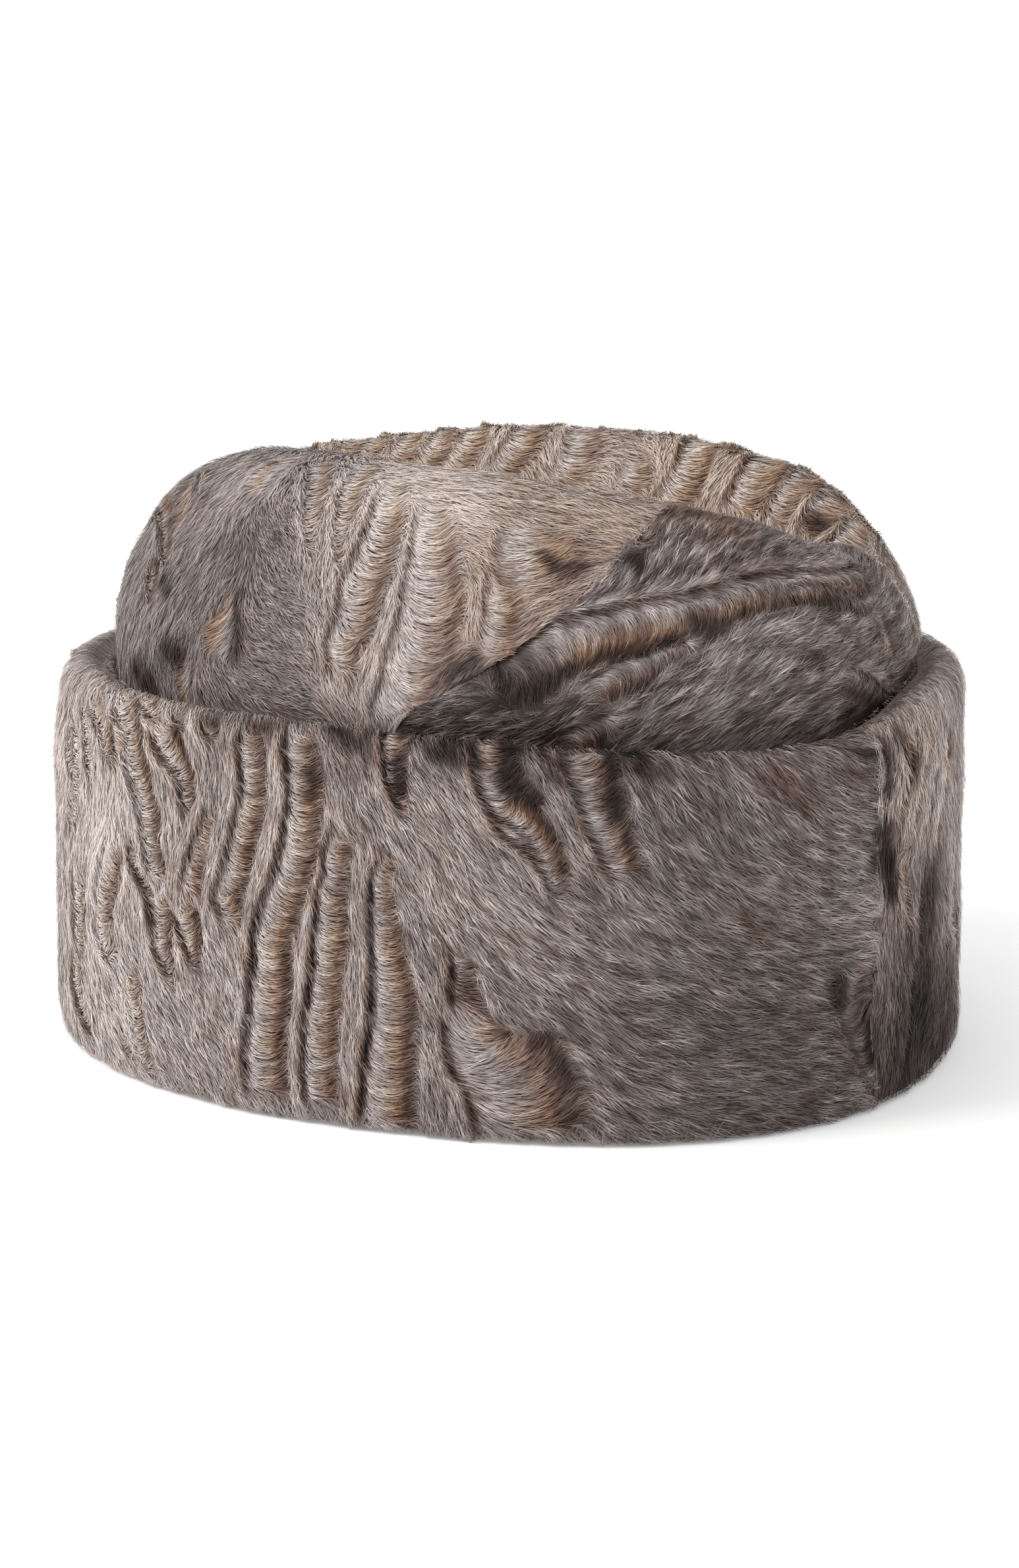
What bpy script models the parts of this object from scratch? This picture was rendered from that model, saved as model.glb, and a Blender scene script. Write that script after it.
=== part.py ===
"""Soft fur hat with a creased crown and a tall turned-up cuff, built pelt by pelt.

Metres, +Z up, the floor at zero.  X runs from the front of the hat (-X) to its back (+X), and
-Y is the wearer's left.  Every pelt is a loft: a surface worked out from the tables below.
"""
import bpy
import numpy as np

# Head opening and crown
HEAD_LENGTH = 0.200
HEAD_WIDTH = 0.157
CROWN_WALL = 0.006        # skin, light backing and the pile that lies on it
CROWN_RISE = 0.0600       # highest ridge above the cuff's rim
CREASE_DEPTH = 0.042      # drop of the middle crease below the ridges
SQUARENESS = 0.30         # 0 is a plain ellipse in plan, more fills its corners
CROWN_RIB = 0.0016        # height of the crown's rows of curls

# Cuff
CUFF_HEIGHT = 0.100
CUFF_END_THICKNESS = 0.0156
CUFF_SIDE_THICKNESS = 0.0121
CUFF_RIB = 0.0018         # height of the cuff's rows of curls
FOOT_THICKNESS = 0.006    # the part of the cuff that turns in under the crown's edge

# Fits
SEAM_GAP = 0.0005         # clearance between two pelts at a seam
SEAT_GAP = 0.0004         # clearance between the crown and the cuff

# Fineness of the facets
CROWN_STEP = 5.6          # degrees between plain columns
CUFF_STEP = 5.0
NORMAL_STEP = 0.004       # share of the surface used to feel its slope

# Crown sections from its foot to the bottom of the crease.  skirt is a share of the cuff's
# height, rise of the ridge's height, sink of the crease's depth.  front, back, left and right
# are shares of the half length and half width, square of SQUARENESS.  The three seams are
# places round the crown in degrees from the back, and steps are the facets to the next section.
CROWN_COLUMNS = ("section", "skirt", "rise", "sink", "front", "back", "left", "right",
                 "square", "front_seam", "side_seam", "back_seam", "steps")
CROWN_SECTIONS = (
    ("foot",       0.00, 0.00, 0.00, 1.00, 1.00, 1.00, 1.00, 1.0, 204, 276, 368, 1),
    ("skirt",      0.45, 0.00, 0.00, 1.00, 1.00, 1.00, 1.00, 1.0, 204, 277, 368, 1),
    ("rim level",  0.95, 0.00, 0.00, 1.00, 1.00, 1.00, 1.00, 1.0, 204, 279, 368, 2),
    ("wall low",   1.00, 0.27, 0.00, 1.01, 1.04, 0.97, 0.98, 0.8, 205, 286, 368, 2),
    ("wall high",  1.00, 0.64, 0.00, 0.96, 0.99, 0.84, 0.88, 0.5, 203, 295, 367, 2),
    ("shoulder",   1.00, 0.90, 0.00, 0.88, 0.92, 0.66, 0.73, 0.2, 198, 303, 365, 2),
    ("ridge",      1.00, 1.00, 0.00, 0.77, 0.84, 0.43, 0.51, 0.0, 190, 308, 362, 2),
    ("turn in",    1.00, 0.95, 0.06, 0.69, 0.76, 0.31, 0.38, 0.0, 184, 311, 360, 2),
    ("inner wall", 1.00, 0.88, 0.45, 0.62, 0.69, 0.17, 0.20, 0.0, 181, 313, 360, 2),
    ("floor edge", 1.00, 0.86, 0.88, 0.60, 0.68, 0.06, 0.06, 0.0, 180, 314, 360, 1),
    ("valley",     1.00, 0.86, 1.00, 0.59, 0.67, 0.00, 0.00, 0.0, 180, 315, 360, 0),
)

# Height of the ridge round the crown as a share of CROWN_RISE, at even turns from the back
RIDGE_COLUMNS = ("place", "height")
RIDGE = (
    ("back", 0.64), ("back right", 0.86), ("right", 0.95), ("front right", 0.86),
    ("front", 0.76), ("front left", 0.97), ("left", 0.96), ("back left", 0.83),
)

# Section of the cuff, once round its loop.  out is a share of the cuff's thickness where it is
# positive, and of the crown's wall where it is negative.  foot is a share of FOOT_THICKNESS
# and up a share of the cuff's height.  rib says how far the rows of curls show there.
CUFF_COLUMNS = ("place", "out", "foot", "up", "rib")
CUFF_SECTION = (
    ("foot toe",        -1.00, 0.20, 0.000, 0.0),
    ("foot toe top",    -0.92, 0.92, 0.000, 0.0),
    ("foot heel",        0.00, 0.92, 0.000, 0.0),
    ("inner low",        0.00, 1.00, 0.120, 0.0),
    ("inner high",       0.00, 0.00, 0.900, 0.0),
    ("rim inside",       0.16, 0.00, 0.968, 0.0),
    ("rim top",          0.46, 0.00, 1.000, 0.3),
    ("rim shoulder",     0.78, 0.00, 0.984, 0.7),
    ("rim outside",      0.96, 0.00, 0.925, 1.0),
    ("outer high",       1.00, 0.00, 0.780, 1.0),
    ("outer middle",     1.00, 0.00, 0.520, 1.0),
    ("outer low",        0.99, 0.00, 0.240, 1.0),
    ("bottom corner",    0.93, 0.00, 0.085, 0.8),
    ("bottom turn",      0.74, 0.00, 0.022, 0.4),
    ("sole outside",     0.48, 0.00, 0.000, 0.0),
    ("sole inside",     -0.88, 0.00, 0.000, 0.0),
)

# Height of the rim round the cuff as a share of CUFF_HEIGHT, at even turns from the back
RIM_COLUMNS = ("place", "height")
RIM = (
    ("back", 1.000), ("back right low", 0.990), ("back right", 1.000), ("right", 1.010),
    ("front right", 1.005), ("front right low", 1.000), ("front", 1.010),
    ("front left low", 1.020), ("front left", 1.015), ("left", 1.000), ("back left", 0.975),
    ("back left corner", 0.975),
)

# Rows of curls that stand out on the cuff: place round it in degrees, and share of CUFF_RIB
RIB_COLUMNS = ("rib", "turn", "height")
CUFF_RIBS = (
    ("front curl", 223.0, 0.8), ("second curl", 234.5, 0.9), ("third curl", 242.3, 1.0),
    ("fourth curl", 250.4, 1.0), ("fifth curl", 256.0, 0.9), ("sixth curl", 261.2, 1.0),
    ("seventh curl", 267.0, 0.9), ("side curl", 273.0, 0.7),
)
# Rows of curls on the crown's front left pelt, as shares of the way between its seams
CROWN_RIBS = (
    ("first curl", 0.64, 0.8), ("second curl", 0.70, 1.0), ("third curl", 0.76, 1.0),
    ("fourth curl", 0.82, 0.9), ("fifth curl", 0.88, 0.8), ("seam curl", 0.94, 0.6),
)
CUFF_SEAMS = (162.0, 337.0, 522.0)    # turns where the cuff's two pelts meet

# Pelts: base colour and roughness
PELT_COLUMNS = ("name", "red", "green", "blue", "roughness")
PELTS = (
    ("crown_left_front_pelt", 0.42, 0.36, 0.31, 0.85),
    ("crown_left_rear_pelt",  0.22, 0.19, 0.18, 0.85),
    ("crown_right_pelt",      0.36, 0.29, 0.24, 0.85),
    ("cuff_left_pelt",        0.27, 0.24, 0.22, 0.85),
    ("cuff_right_pelt",       0.24, 0.21, 0.19, 0.85),
)


def column(table, columns, name):
    """One named column of a table as an array."""
    place = columns.index(name)
    return np.array([row[place] for row in table], dtype=float)


def curve(before, start, end, after, share):
    """Smooth curve from start to end that leaves along before and arrives along after."""
    bend = 3 * (start - end) + after - before
    turn = 2 * before - 5 * start + 4 * end - after
    return start + 0.5 * share * ((end - before) + share * (turn + share * bend))


def along(values, place):
    """Smooth reading of a column at a place counted in sections."""
    last = len(values) - 1
    first = np.clip(place.astype(int), 0, last - 1)
    share = place - first
    before = values[np.maximum(first - 1, 0)]
    after = values[np.minimum(first + 2, last)]
    return curve(before, values[first], values[first + 1], after, share)


def around(values, turn):
    """Smooth reading of an even table that closes on itself, turn in degrees."""
    count = len(values)
    place = (turn % 360.0) / 360.0 * count
    first = place.astype(int)
    points = [values[(first + shift) % count] for shift in (-1, 0, 1, 2)]
    return curve(*points, place - first)


def plan(turn, square):
    """Unit outline in plan: a circle that fills its corners as square grows."""
    power = 2.0 + SQUARENESS * square
    cosine = np.cos(np.radians(turn))
    sine = np.sin(np.radians(turn))
    reach = (np.abs(cosine) ** power + np.abs(sine) ** power) ** (-1.0 / power)
    return reach * cosine, reach * sine


def crown_point(turn, place):
    """Outer surface of the crown at a turn in degrees and a place counted in sections."""
    read = {name: along(column(CROWN_SECTIONS, CROWN_COLUMNS, name), place)
            for name in ("skirt", "rise", "sink", "front", "back", "left", "right", "square")}
    ahead, aside = plan(turn, read["square"])
    x = ahead * (HEAD_LENGTH / 2 + CROWN_WALL) * np.where(ahead > 0, read["back"], read["front"])
    y = aside * (HEAD_WIDTH / 2 + CROWN_WALL) * np.where(aside > 0, read["right"], read["left"])
    foot = FOOT_THICKNESS + SEAT_GAP
    ridge = CROWN_RISE * around(column(RIDGE, RIDGE_COLUMNS, "height"), turn)
    crease = CREASE_DEPTH * np.sqrt(1.0 - (0.8 * np.cos(np.radians(turn))) ** 2)
    z = foot + (CUFF_HEIGHT - foot) * read["skirt"] + ridge * read["rise"] - crease * read["sink"]
    return np.stack([x, y, z], axis=-1)


def crown_normal(turn, place):
    """Outward direction of the crown, straight up where its sides meet in the crease."""
    last = len(CROWN_SECTIONS) - 1
    step = last * NORMAL_STEP
    low = np.clip(place - step, 0, last - 5 * step)
    high = low + 2 * step
    middle = (low + high) / 2
    turn_step = 360.0 * NORMAL_STEP
    round_it = crown_point(turn + turn_step, middle) - crown_point(turn - turn_step, middle)
    up_it = crown_point(turn, high) - crown_point(turn, low)
    normal = np.cross(round_it, up_it)
    near_valley = np.clip(place - (last - 1), 0, 1)
    normal[..., 1] *= 1 - near_valley
    return normal / np.linalg.norm(normal, axis=-1, keepdims=True)


def rib_relief(places, crests, heights):
    """Zigzag relief that is high on each crest and low midway between two of them."""
    middles = (crests[1:] + crests[:-1]) / 2
    knots = np.concatenate([[2 * crests[0] - middles[0]], middles, [2 * crests[-1] - middles[-1]]])
    order = np.argsort(np.concatenate([crests, knots]))
    spots = np.concatenate([crests, knots])[order]
    levels = np.concatenate([heights, -0.6 * np.ones(len(knots))])[order]
    spots = np.concatenate([[2 * spots[0] - spots[1]], spots, [2 * spots[-1] - spots[-2]]])
    levels = np.concatenate([[0.0], levels, [0.0]])
    return np.interp(places, spots, levels)


def with_ribs(plain, crests):
    """Column places: the plain ones away from the ribs, and each rib's crest and valleys."""
    middles = (crests[1:] + crests[:-1]) / 2
    ends = [2 * crests[0] - middles[0], 2 * crests[-1] - middles[-1]]
    ribbed = np.sort(np.concatenate([crests, middles, ends]))
    spare = (ribbed[1] - ribbed[0]) * 0.8
    kept = plain[(plain < ribbed[0] - spare) | (plain > ribbed[-1] + spare)]
    return np.sort(np.concatenate([kept, ribbed]))


def crown_places():
    """Places of the rows from the crown's foot to the crease, as the steps column asks."""
    steps = column(CROWN_SECTIONS, CROWN_COLUMNS, "steps").astype(int)
    rows = [section + np.arange(count) / count for section, count in enumerate(steps) if count]
    return np.concatenate(rows + [[len(steps) - 1.0]])


def make_material(name, colour, roughness):
    """Principled material of one pelt."""
    material = bpy.data.materials.new(name + "_finish")
    material.use_nodes = True
    shader = material.node_tree.nodes["Principled BSDF"]
    shader.inputs["Base Color"].default_value = (*colour, 1.0)
    shader.inputs["Roughness"].default_value = roughness
    shader.inputs["Metallic"].default_value = 0.0
    return material


def add_pelt(name, points, faces, collection):
    """Put one pelt's mesh in the collection, with its own material."""
    mesh = bpy.data.meshes.new(name)
    mesh.from_pydata(points.tolist(), [], faces)
    mesh.update()
    mesh.shade_smooth()
    mesh.set_sharp_from_angle(angle=np.radians(50.0))
    row = next(pelt for pelt in PELTS if pelt[0] == name)
    mesh.materials.append(make_material(name, row[1:4], row[4]))
    pelt = bpy.data.objects.new(name, mesh)
    collection.objects.link(pelt)
    return pelt


def sheet_faces(rows, columns, flip):
    """Four-sided faces of a grid of points, row after row."""
    corner = np.arange(rows * columns).reshape(rows, columns)
    faces = np.stack([corner[:-1, :-1], corner[:-1, 1:], corner[1:, 1:], corner[1:, :-1]], axis=-1)
    faces = faces.reshape(-1, 4)
    return faces[:, ::-1] if flip else faces


def shell(name, outer, inner, collection):
    """Closed wall between an outer and an inner grid of the same size."""
    rows, columns = outer.shape[:2]
    count = rows * columns
    grid = np.arange(count).reshape(rows, columns)
    border = np.concatenate([grid[0, :-1], grid[:-1, -1], grid[-1, :0:-1], grid[:0:-1, 0]])
    ahead = np.roll(border, -1)
    rim = np.stack([border, border + count, ahead + count, ahead], axis=-1)
    faces = np.concatenate([sheet_faces(rows, columns, False),
                            sheet_faces(rows, columns, True) + count, rim])
    points = np.concatenate([outer.reshape(-1, 3), inner.reshape(-1, 3)])
    return add_pelt(name, points, faces.tolist(), collection)


def crown_pelt(name, first_seam, last_seam, shares, collection, ribs=()):
    """Pelt of the crown between two seams, each a list of turns for the rows."""
    places = crown_places()
    start = along(first_seam, places)[:, None]
    end = along(last_seam, places)[:, None]
    turn = start + (end - start) * shares[None, :]
    place = np.broadcast_to(places[:, None], turn.shape)
    outer = crown_point(turn, place)
    normal = crown_normal(turn, place)
    inner = outer - normal * CROWN_WALL
    if ribs:
        crests = column(ribs, RIB_COLUMNS, "turn")
        relief = rib_relief(shares, crests, column(ribs, RIB_COLUMNS, "height"))
        section = {row[0]: number for number, row in enumerate(CROWN_SECTIONS)}
        limits = [section[name] for name in ("rim level", "wall low", "ridge", "turn in")]
        shown = np.interp(places, limits, [0.0, 1.0, 0.8, 0.0])
        outer = outer + normal * (CROWN_RIB * shown[:, None] * relief)[..., None]
    for edge, way in ((0, 1.0), (-1, -1.0)):
        tangent = np.gradient(outer[:, edge], axis=0)
        aside = np.cross(normal[:, edge], tangent)
        aside /= np.linalg.norm(aside, axis=-1, keepdims=True)
        outer[:, edge] -= way * aside * SEAM_GAP / 2
        inner[:, edge] -= way * aside * SEAM_GAP / 2
    middle = np.sign(np.sin(np.radians((turn[-1, 0] + turn[-1, -1]) / 2)))
    outer[-1, :, 1] = middle * SEAM_GAP / 2
    inner[-1, :, 1] = middle * SEAM_GAP / 2
    inner[0, :, 2] = FOOT_THICKNESS + SEAT_GAP
    return shell(name, outer, inner, collection)


def cuff_point(turn, section):
    """Point of the cuff at a turn in degrees, for one row of its section table."""
    out, foot, up, rib = section[1:]
    ahead, aside = plan(turn, 1.0)
    end = out * (CUFF_END_THICKNESS if out > 0 else CROWN_WALL + SEAT_GAP)
    side = out * (CUFF_SIDE_THICKNESS if out > 0 else CROWN_WALL + SEAT_GAP)
    crests = column(CUFF_RIBS, RIB_COLUMNS, "turn")
    relief = rib * CUFF_RIB * rib_relief(turn, crests, column(CUFF_RIBS, RIB_COLUMNS, "height"))
    rim = CUFF_HEIGHT * around(column(RIM, RIM_COLUMNS, "height"), turn)
    x = ahead * (HEAD_LENGTH / 2 + CROWN_WALL + SEAT_GAP + end + relief)
    y = aside * (HEAD_WIDTH / 2 + CROWN_WALL + SEAT_GAP + side + relief)
    z = foot * FOOT_THICKNESS + up * rim
    return np.stack([x, y, z], axis=-1)


def cuff_pelt(name, start, end, collection):
    """Pelt of the cuff from one seam to the next: its section carried round the plan."""
    count = int(np.ceil((end - start) / CUFF_STEP))
    turns = np.linspace(start, end, count + 1)
    crests = column(CUFF_RIBS, RIB_COLUMNS, "turn")
    if start < crests[0] < end:
        turns = with_ribs(turns, crests)
    loop = np.stack([cuff_point(turns, row) for row in CUFF_SECTION], axis=1)
    after = np.stack([cuff_point(turns + 0.5, row) for row in CUFF_SECTION], axis=1)
    aside = (after - loop) * np.array([1.0, 1.0, 0.0])
    aside /= np.linalg.norm(aside, axis=-1, keepdims=True)
    loop[0] += aside[0] * SEAM_GAP / 2
    loop[-1] -= aside[-1] * SEAM_GAP / 2
    columns, around_it = loop.shape[:2]
    corner = np.arange(columns * around_it).reshape(columns, around_it)
    ahead = np.roll(corner, -1, axis=1)
    sides = np.stack([corner[:-1], ahead[:-1], ahead[1:], corner[1:]], axis=-1).reshape(-1, 4)
    faces = sides.tolist() + [corner[0, ::-1].tolist(), corner[-1].tolist()]
    return add_pelt(name, loop.reshape(-1, 3), faces, collection)


def clear_scene():
    """Start from an empty scene."""
    for item in list(bpy.data.objects):
        bpy.data.objects.remove(item, do_unlink=True)


def make_collection(name):
    """Collection for the finished pieces."""
    collection = bpy.data.collections.new(name)
    bpy.context.scene.collection.children.link(collection)
    return collection


def even_shares(first_seam, last_seam):
    """Even column places between two seams, CROWN_STEP degrees apart at the crown's foot."""
    count = int(np.ceil((last_seam[0] - first_seam[0]) / CROWN_STEP))
    return np.linspace(0.0, 1.0, count + 1)


def main():
    clear_scene()
    hat = make_collection("fur_hat")
    front = column(CROWN_SECTIONS, CROWN_COLUMNS, "front_seam")
    side = column(CROWN_SECTIONS, CROWN_COLUMNS, "side_seam")
    back = column(CROWN_SECTIONS, CROWN_COLUMNS, "back_seam")
    ribbed = with_ribs(even_shares(front, side), column(CROWN_RIBS, RIB_COLUMNS, "turn"))
    crown_pelt("crown_left_front_pelt", front, side, ribbed, hat, CROWN_RIBS)
    crown_pelt("crown_left_rear_pelt", side, back, even_shares(side, back), hat)
    crown_pelt("crown_right_pelt", back - 360, front, even_shares(back - 360, front), hat)
    cuff_pelt("cuff_left_pelt", CUFF_SEAMS[0], CUFF_SEAMS[1], hat)
    cuff_pelt("cuff_right_pelt", CUFF_SEAMS[1], CUFF_SEAMS[2], hat)


main()
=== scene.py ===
"""Looks of a soft fur hat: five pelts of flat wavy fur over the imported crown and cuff.

The skins and the fur are worked out as surfaces of two parameters.  Where the photograph shows a
curl or the way that the hair lies, its place is given as a pixel of the 1546 x 2380 photograph,
carried onto the surface through the camera.
"""

from types import SimpleNamespace

import bpy
import numpy as np
from bpy.props import FloatProperty, FloatVectorProperty, IntProperty, PointerProperty
from mathutils import Euler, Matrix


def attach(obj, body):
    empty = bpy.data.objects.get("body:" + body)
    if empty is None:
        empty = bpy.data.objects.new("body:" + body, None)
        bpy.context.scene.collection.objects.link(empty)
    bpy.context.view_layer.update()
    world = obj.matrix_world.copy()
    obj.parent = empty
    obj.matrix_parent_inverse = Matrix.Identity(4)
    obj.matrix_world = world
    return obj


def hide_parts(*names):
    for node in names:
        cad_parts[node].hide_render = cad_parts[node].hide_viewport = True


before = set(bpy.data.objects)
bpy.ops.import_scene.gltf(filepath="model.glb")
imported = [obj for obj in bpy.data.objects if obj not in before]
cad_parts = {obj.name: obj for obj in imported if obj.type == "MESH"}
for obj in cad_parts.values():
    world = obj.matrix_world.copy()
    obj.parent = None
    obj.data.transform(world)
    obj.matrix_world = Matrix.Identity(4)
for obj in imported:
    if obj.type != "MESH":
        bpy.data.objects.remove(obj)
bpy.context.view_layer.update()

bl_info = {
    "name": "Astrakhan Hat",
    "version": (1, 0, 0),
    "blender": (4, 5, 0),
    "location": "View3D > Sidebar > Hat",
    "description": "Soft fur hat with a creased crown and a tall turned-up cuff",
    "category": "Add Mesh",
}

MM = 0.001

# Construction, in metres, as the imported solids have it
HEAD_LENGTH = 0.200
HEAD_WIDTH = 0.157
CROWN_WALL = 0.006
CROWN_RISE = 0.0600
CREASE_DEPTH = 0.042
SQUARENESS = 0.30
CUFF_HEIGHT = 0.100
CUFF_END_THICKNESS = 0.0156
CUFF_SIDE_THICKNESS = 0.0121
FOOT_THICKNESS = 0.006
SEAT_GAP = 0.0004

# Fit of the fur on its skin
SKIN_CLEARANCE = 0.4 * MM     # lowest skin above the floor
HIDE_CLEARANCE = 0.3 * MM
HAIR_CLEARANCE = 0.15 * MM
HIDE_DEPTH = 0.2 * MM         # hide below the skin that the hairs stand on
ROOT_DEPTH = 0.15 * MM        # roots below that skin
HIDE_STEP = 4                 # grid points between two of the hide's
STREAK_REACH = 1.8 * MM
STREAK_STEPS = 6
HIDDEN = -1e6                 # pixel of a point that the camera doesn't see
CUFF_SHOWN = (5.0, 13.6)      # sections between which the fur is at its full density
CROWN_SHOWN = (2.3, 9.9)
OVERHANG = 2.2                # most that a hair goes past its pelt's edge, in grid points
STRAY_SHARE = 0.010           # hairs that stand up above the others, and by how much
STRAY_LIFT = 1.9

# Profile of a curl beside its trail
LIP_WIDTH = 2.6 * MM          # swell of the fur before the edge
HIGHLIGHT_WIDTH = 1.3 * MM        # painted highlight: light line along the lip
FRINGE_WIDTH = 1.6 * MM       # tan and denser hair along the edge
SHADOW_LINE_PLACE = 0.7 * MM       # painted shadow: black line in the furrow just behind the edge
SHADOW_LINE_WIDTH = 0.75 * MM

# Crown sections from its foot to the bottom of the crease, as shares of the sizes above.  The
# seams are turns in degrees from the back of the hat.
CROWN_COLUMNS = ("section", "skirt", "rise", "sink", "front", "back", "left", "right",
                 "square", "front_seam", "side_seam", "back_seam")
CROWN_SECTIONS = (
    ("foot",       0.00, 0.00, 0.00, 1.00, 1.00, 1.00, 1.00, 1.0, 204, 276, 368),
    ("skirt",      0.45, 0.00, 0.00, 1.00, 1.00, 1.00, 1.00, 1.0, 204, 277, 368),
    ("rim level",  0.95, 0.00, 0.00, 1.00, 1.00, 1.00, 1.00, 1.0, 204, 270, 368),
    ("wall low",   1.00, 0.27, 0.00, 1.01, 1.04, 0.97, 0.98, 0.8, 205, 282, 368),
    ("wall high",  1.00, 0.64, 0.00, 0.96, 0.99, 0.84, 0.88, 0.5, 203, 295, 367),
    ("shoulder",   1.00, 0.90, 0.00, 0.88, 0.92, 0.66, 0.73, 0.2, 198, 303, 365),
    ("ridge",      1.00, 1.00, 0.00, 0.77, 0.84, 0.43, 0.51, 0.0, 190, 308, 362),
    ("turn in",    1.00, 0.95, 0.06, 0.69, 0.76, 0.31, 0.38, 0.0, 184, 311, 360),
    ("inner wall", 1.00, 0.88, 0.45, 0.62, 0.69, 0.17, 0.20, 0.0, 181, 313, 360),
    ("floor edge", 1.00, 0.86, 0.88, 0.60, 0.68, 0.06, 0.06, 0.0, 180, 314, 360),
    ("valley",     1.00, 0.86, 1.00, 0.59, 0.67, 0.00, 0.00, 0.0, 180, 315, 360),
)
RIDGE_HEIGHTS = (0.64, 0.885, 0.95, 0.86, 0.76, 0.97, 0.96, 0.83)

# Cuff section once round its loop: out of the seat, up from the floor, in the same shares
CUFF_COLUMNS = ("place", "out", "foot", "up")
CUFF_SECTION = (
    ("foot toe",      -1.00, 0.20, 0.000),
    ("foot toe top",  -0.92, 0.92, 0.000),
    ("foot heel",      0.00, 0.92, 0.000),
    ("inner low",      0.00, 1.00, 0.120),
    ("inner high",     0.00, 0.00, 0.900),
    ("rim inside",     0.16, 0.00, 0.968),
    ("rim top",        0.46, 0.00, 1.000),
    ("rim shoulder",   0.78, 0.00, 0.984),
    ("rim outside",    0.96, 0.00, 0.925),
    ("outer high",     1.00, 0.00, 0.780),
    ("outer middle",   1.00, 0.00, 0.520),
    ("outer low",      1.01, 0.00, 0.240),
    ("bottom corner",  1.03, 0.00, 0.050),
    ("bottom turn",    0.98, 0.00, 0.005),
    ("sole outside",   0.64, 0.00, 0.000),
    ("sole inside",   -0.88, 0.00, 0.000),
)
RIM_HEIGHTS = (1.042, 1.050, 1.030, 1.015, 1.005, 1.000, 1.004, 1.020, 1.020, 1.022, 1.002, 0.985)
CUFF_SEAMS = (162.0, 337.0, 522.0)
CUFF_INSIDE = (15.0, 16.0, 17.0, 18.0, 19.0, 19.6)   # sections of the sole, foot and inner face
PLAIN_TONE = 0.32                                    # tone and warmth there

# The photograph's camera
PHOTO_WIDTH = 1546
PHOTO_HEIGHT = 2380
CAMERA_DISTANCE = 1.000       # level distance from the hat's axis
CAMERA_HEIGHT = 0.327
CAMERA_AZIMUTH = 21.7         # degrees from square to the hat's left side, towards its back
CAMERA_PITCH = 14.66          # degrees below level
CAMERA_FOCUS = 5819           # focal length in pixels of the photograph
SENSOR = 36.0
LIGHT_AIM = (0.0, 0.0, 0.08)
WHITE = (1.0, 1.0, 1.0, 1.0)

# Pelts: slot of the record, first and last section that carry fur, a turn at their middle, seed,
# number of hairs and how far light and dark hairs differ
CUFF_LEFT = "cuff_left_pelt"
CUFF_RIGHT = "cuff_right_pelt"
CROWN_FRONT = "crown_left_front_pelt"
CROWN_REAR = "crown_left_rear_pelt"
CROWN_RIGHT = "crown_right_pelt"
PELT_COLUMNS = ("slot", "first", "last", "middle", "seed", "hairs", "contrast")
PELTS = {
    CUFF_LEFT: ("cuff_grey_fur", 4.3, 14.6, 250, 11, 165000, 1.05),
    CUFF_RIGHT: ("cuff_brown_fur", 4.3, 14.6, 70, 12, 110000, 1.0),
    CROWN_FRONT: ("crown_pale_fur", 1.75, 10.0, 240, 13, 80000, 0.58),
    CROWN_REAR: ("crown_dark_fur", 1.75, 10.0, 320, 14, 76000, 1.4),
    CROWN_RIGHT: ("crown_brown_fur", 1.75, 10.0, 90, 15, 108000, 0.95),
}

# Tones, from black at 0 to white at 1, at which the colours of the settings stand
TONE_STEPS = (0.07, 0.28, 0.52, 0.76, 1.0)

# Three coats of hair on each pelt: share of its hairs, length, height of the tips, width and brightness
# against those of the pile, how far a lock's hairs gather, and the triangles of a hair.  The lower coats are
# a little darker: painted shade deep in the pile.
COATS = (
    ("underfur", 0.30, 0.80, 0.45, 1.60, 0.97, 0.20, 1),
    ("midfur", 0.35, 0.95, 0.75, 1.05, 1.02, 0.30, 2),
    ("topfur", 0.35, 1.00, 1.00, 0.90, 1.05, 0.42, 2),
)
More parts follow.
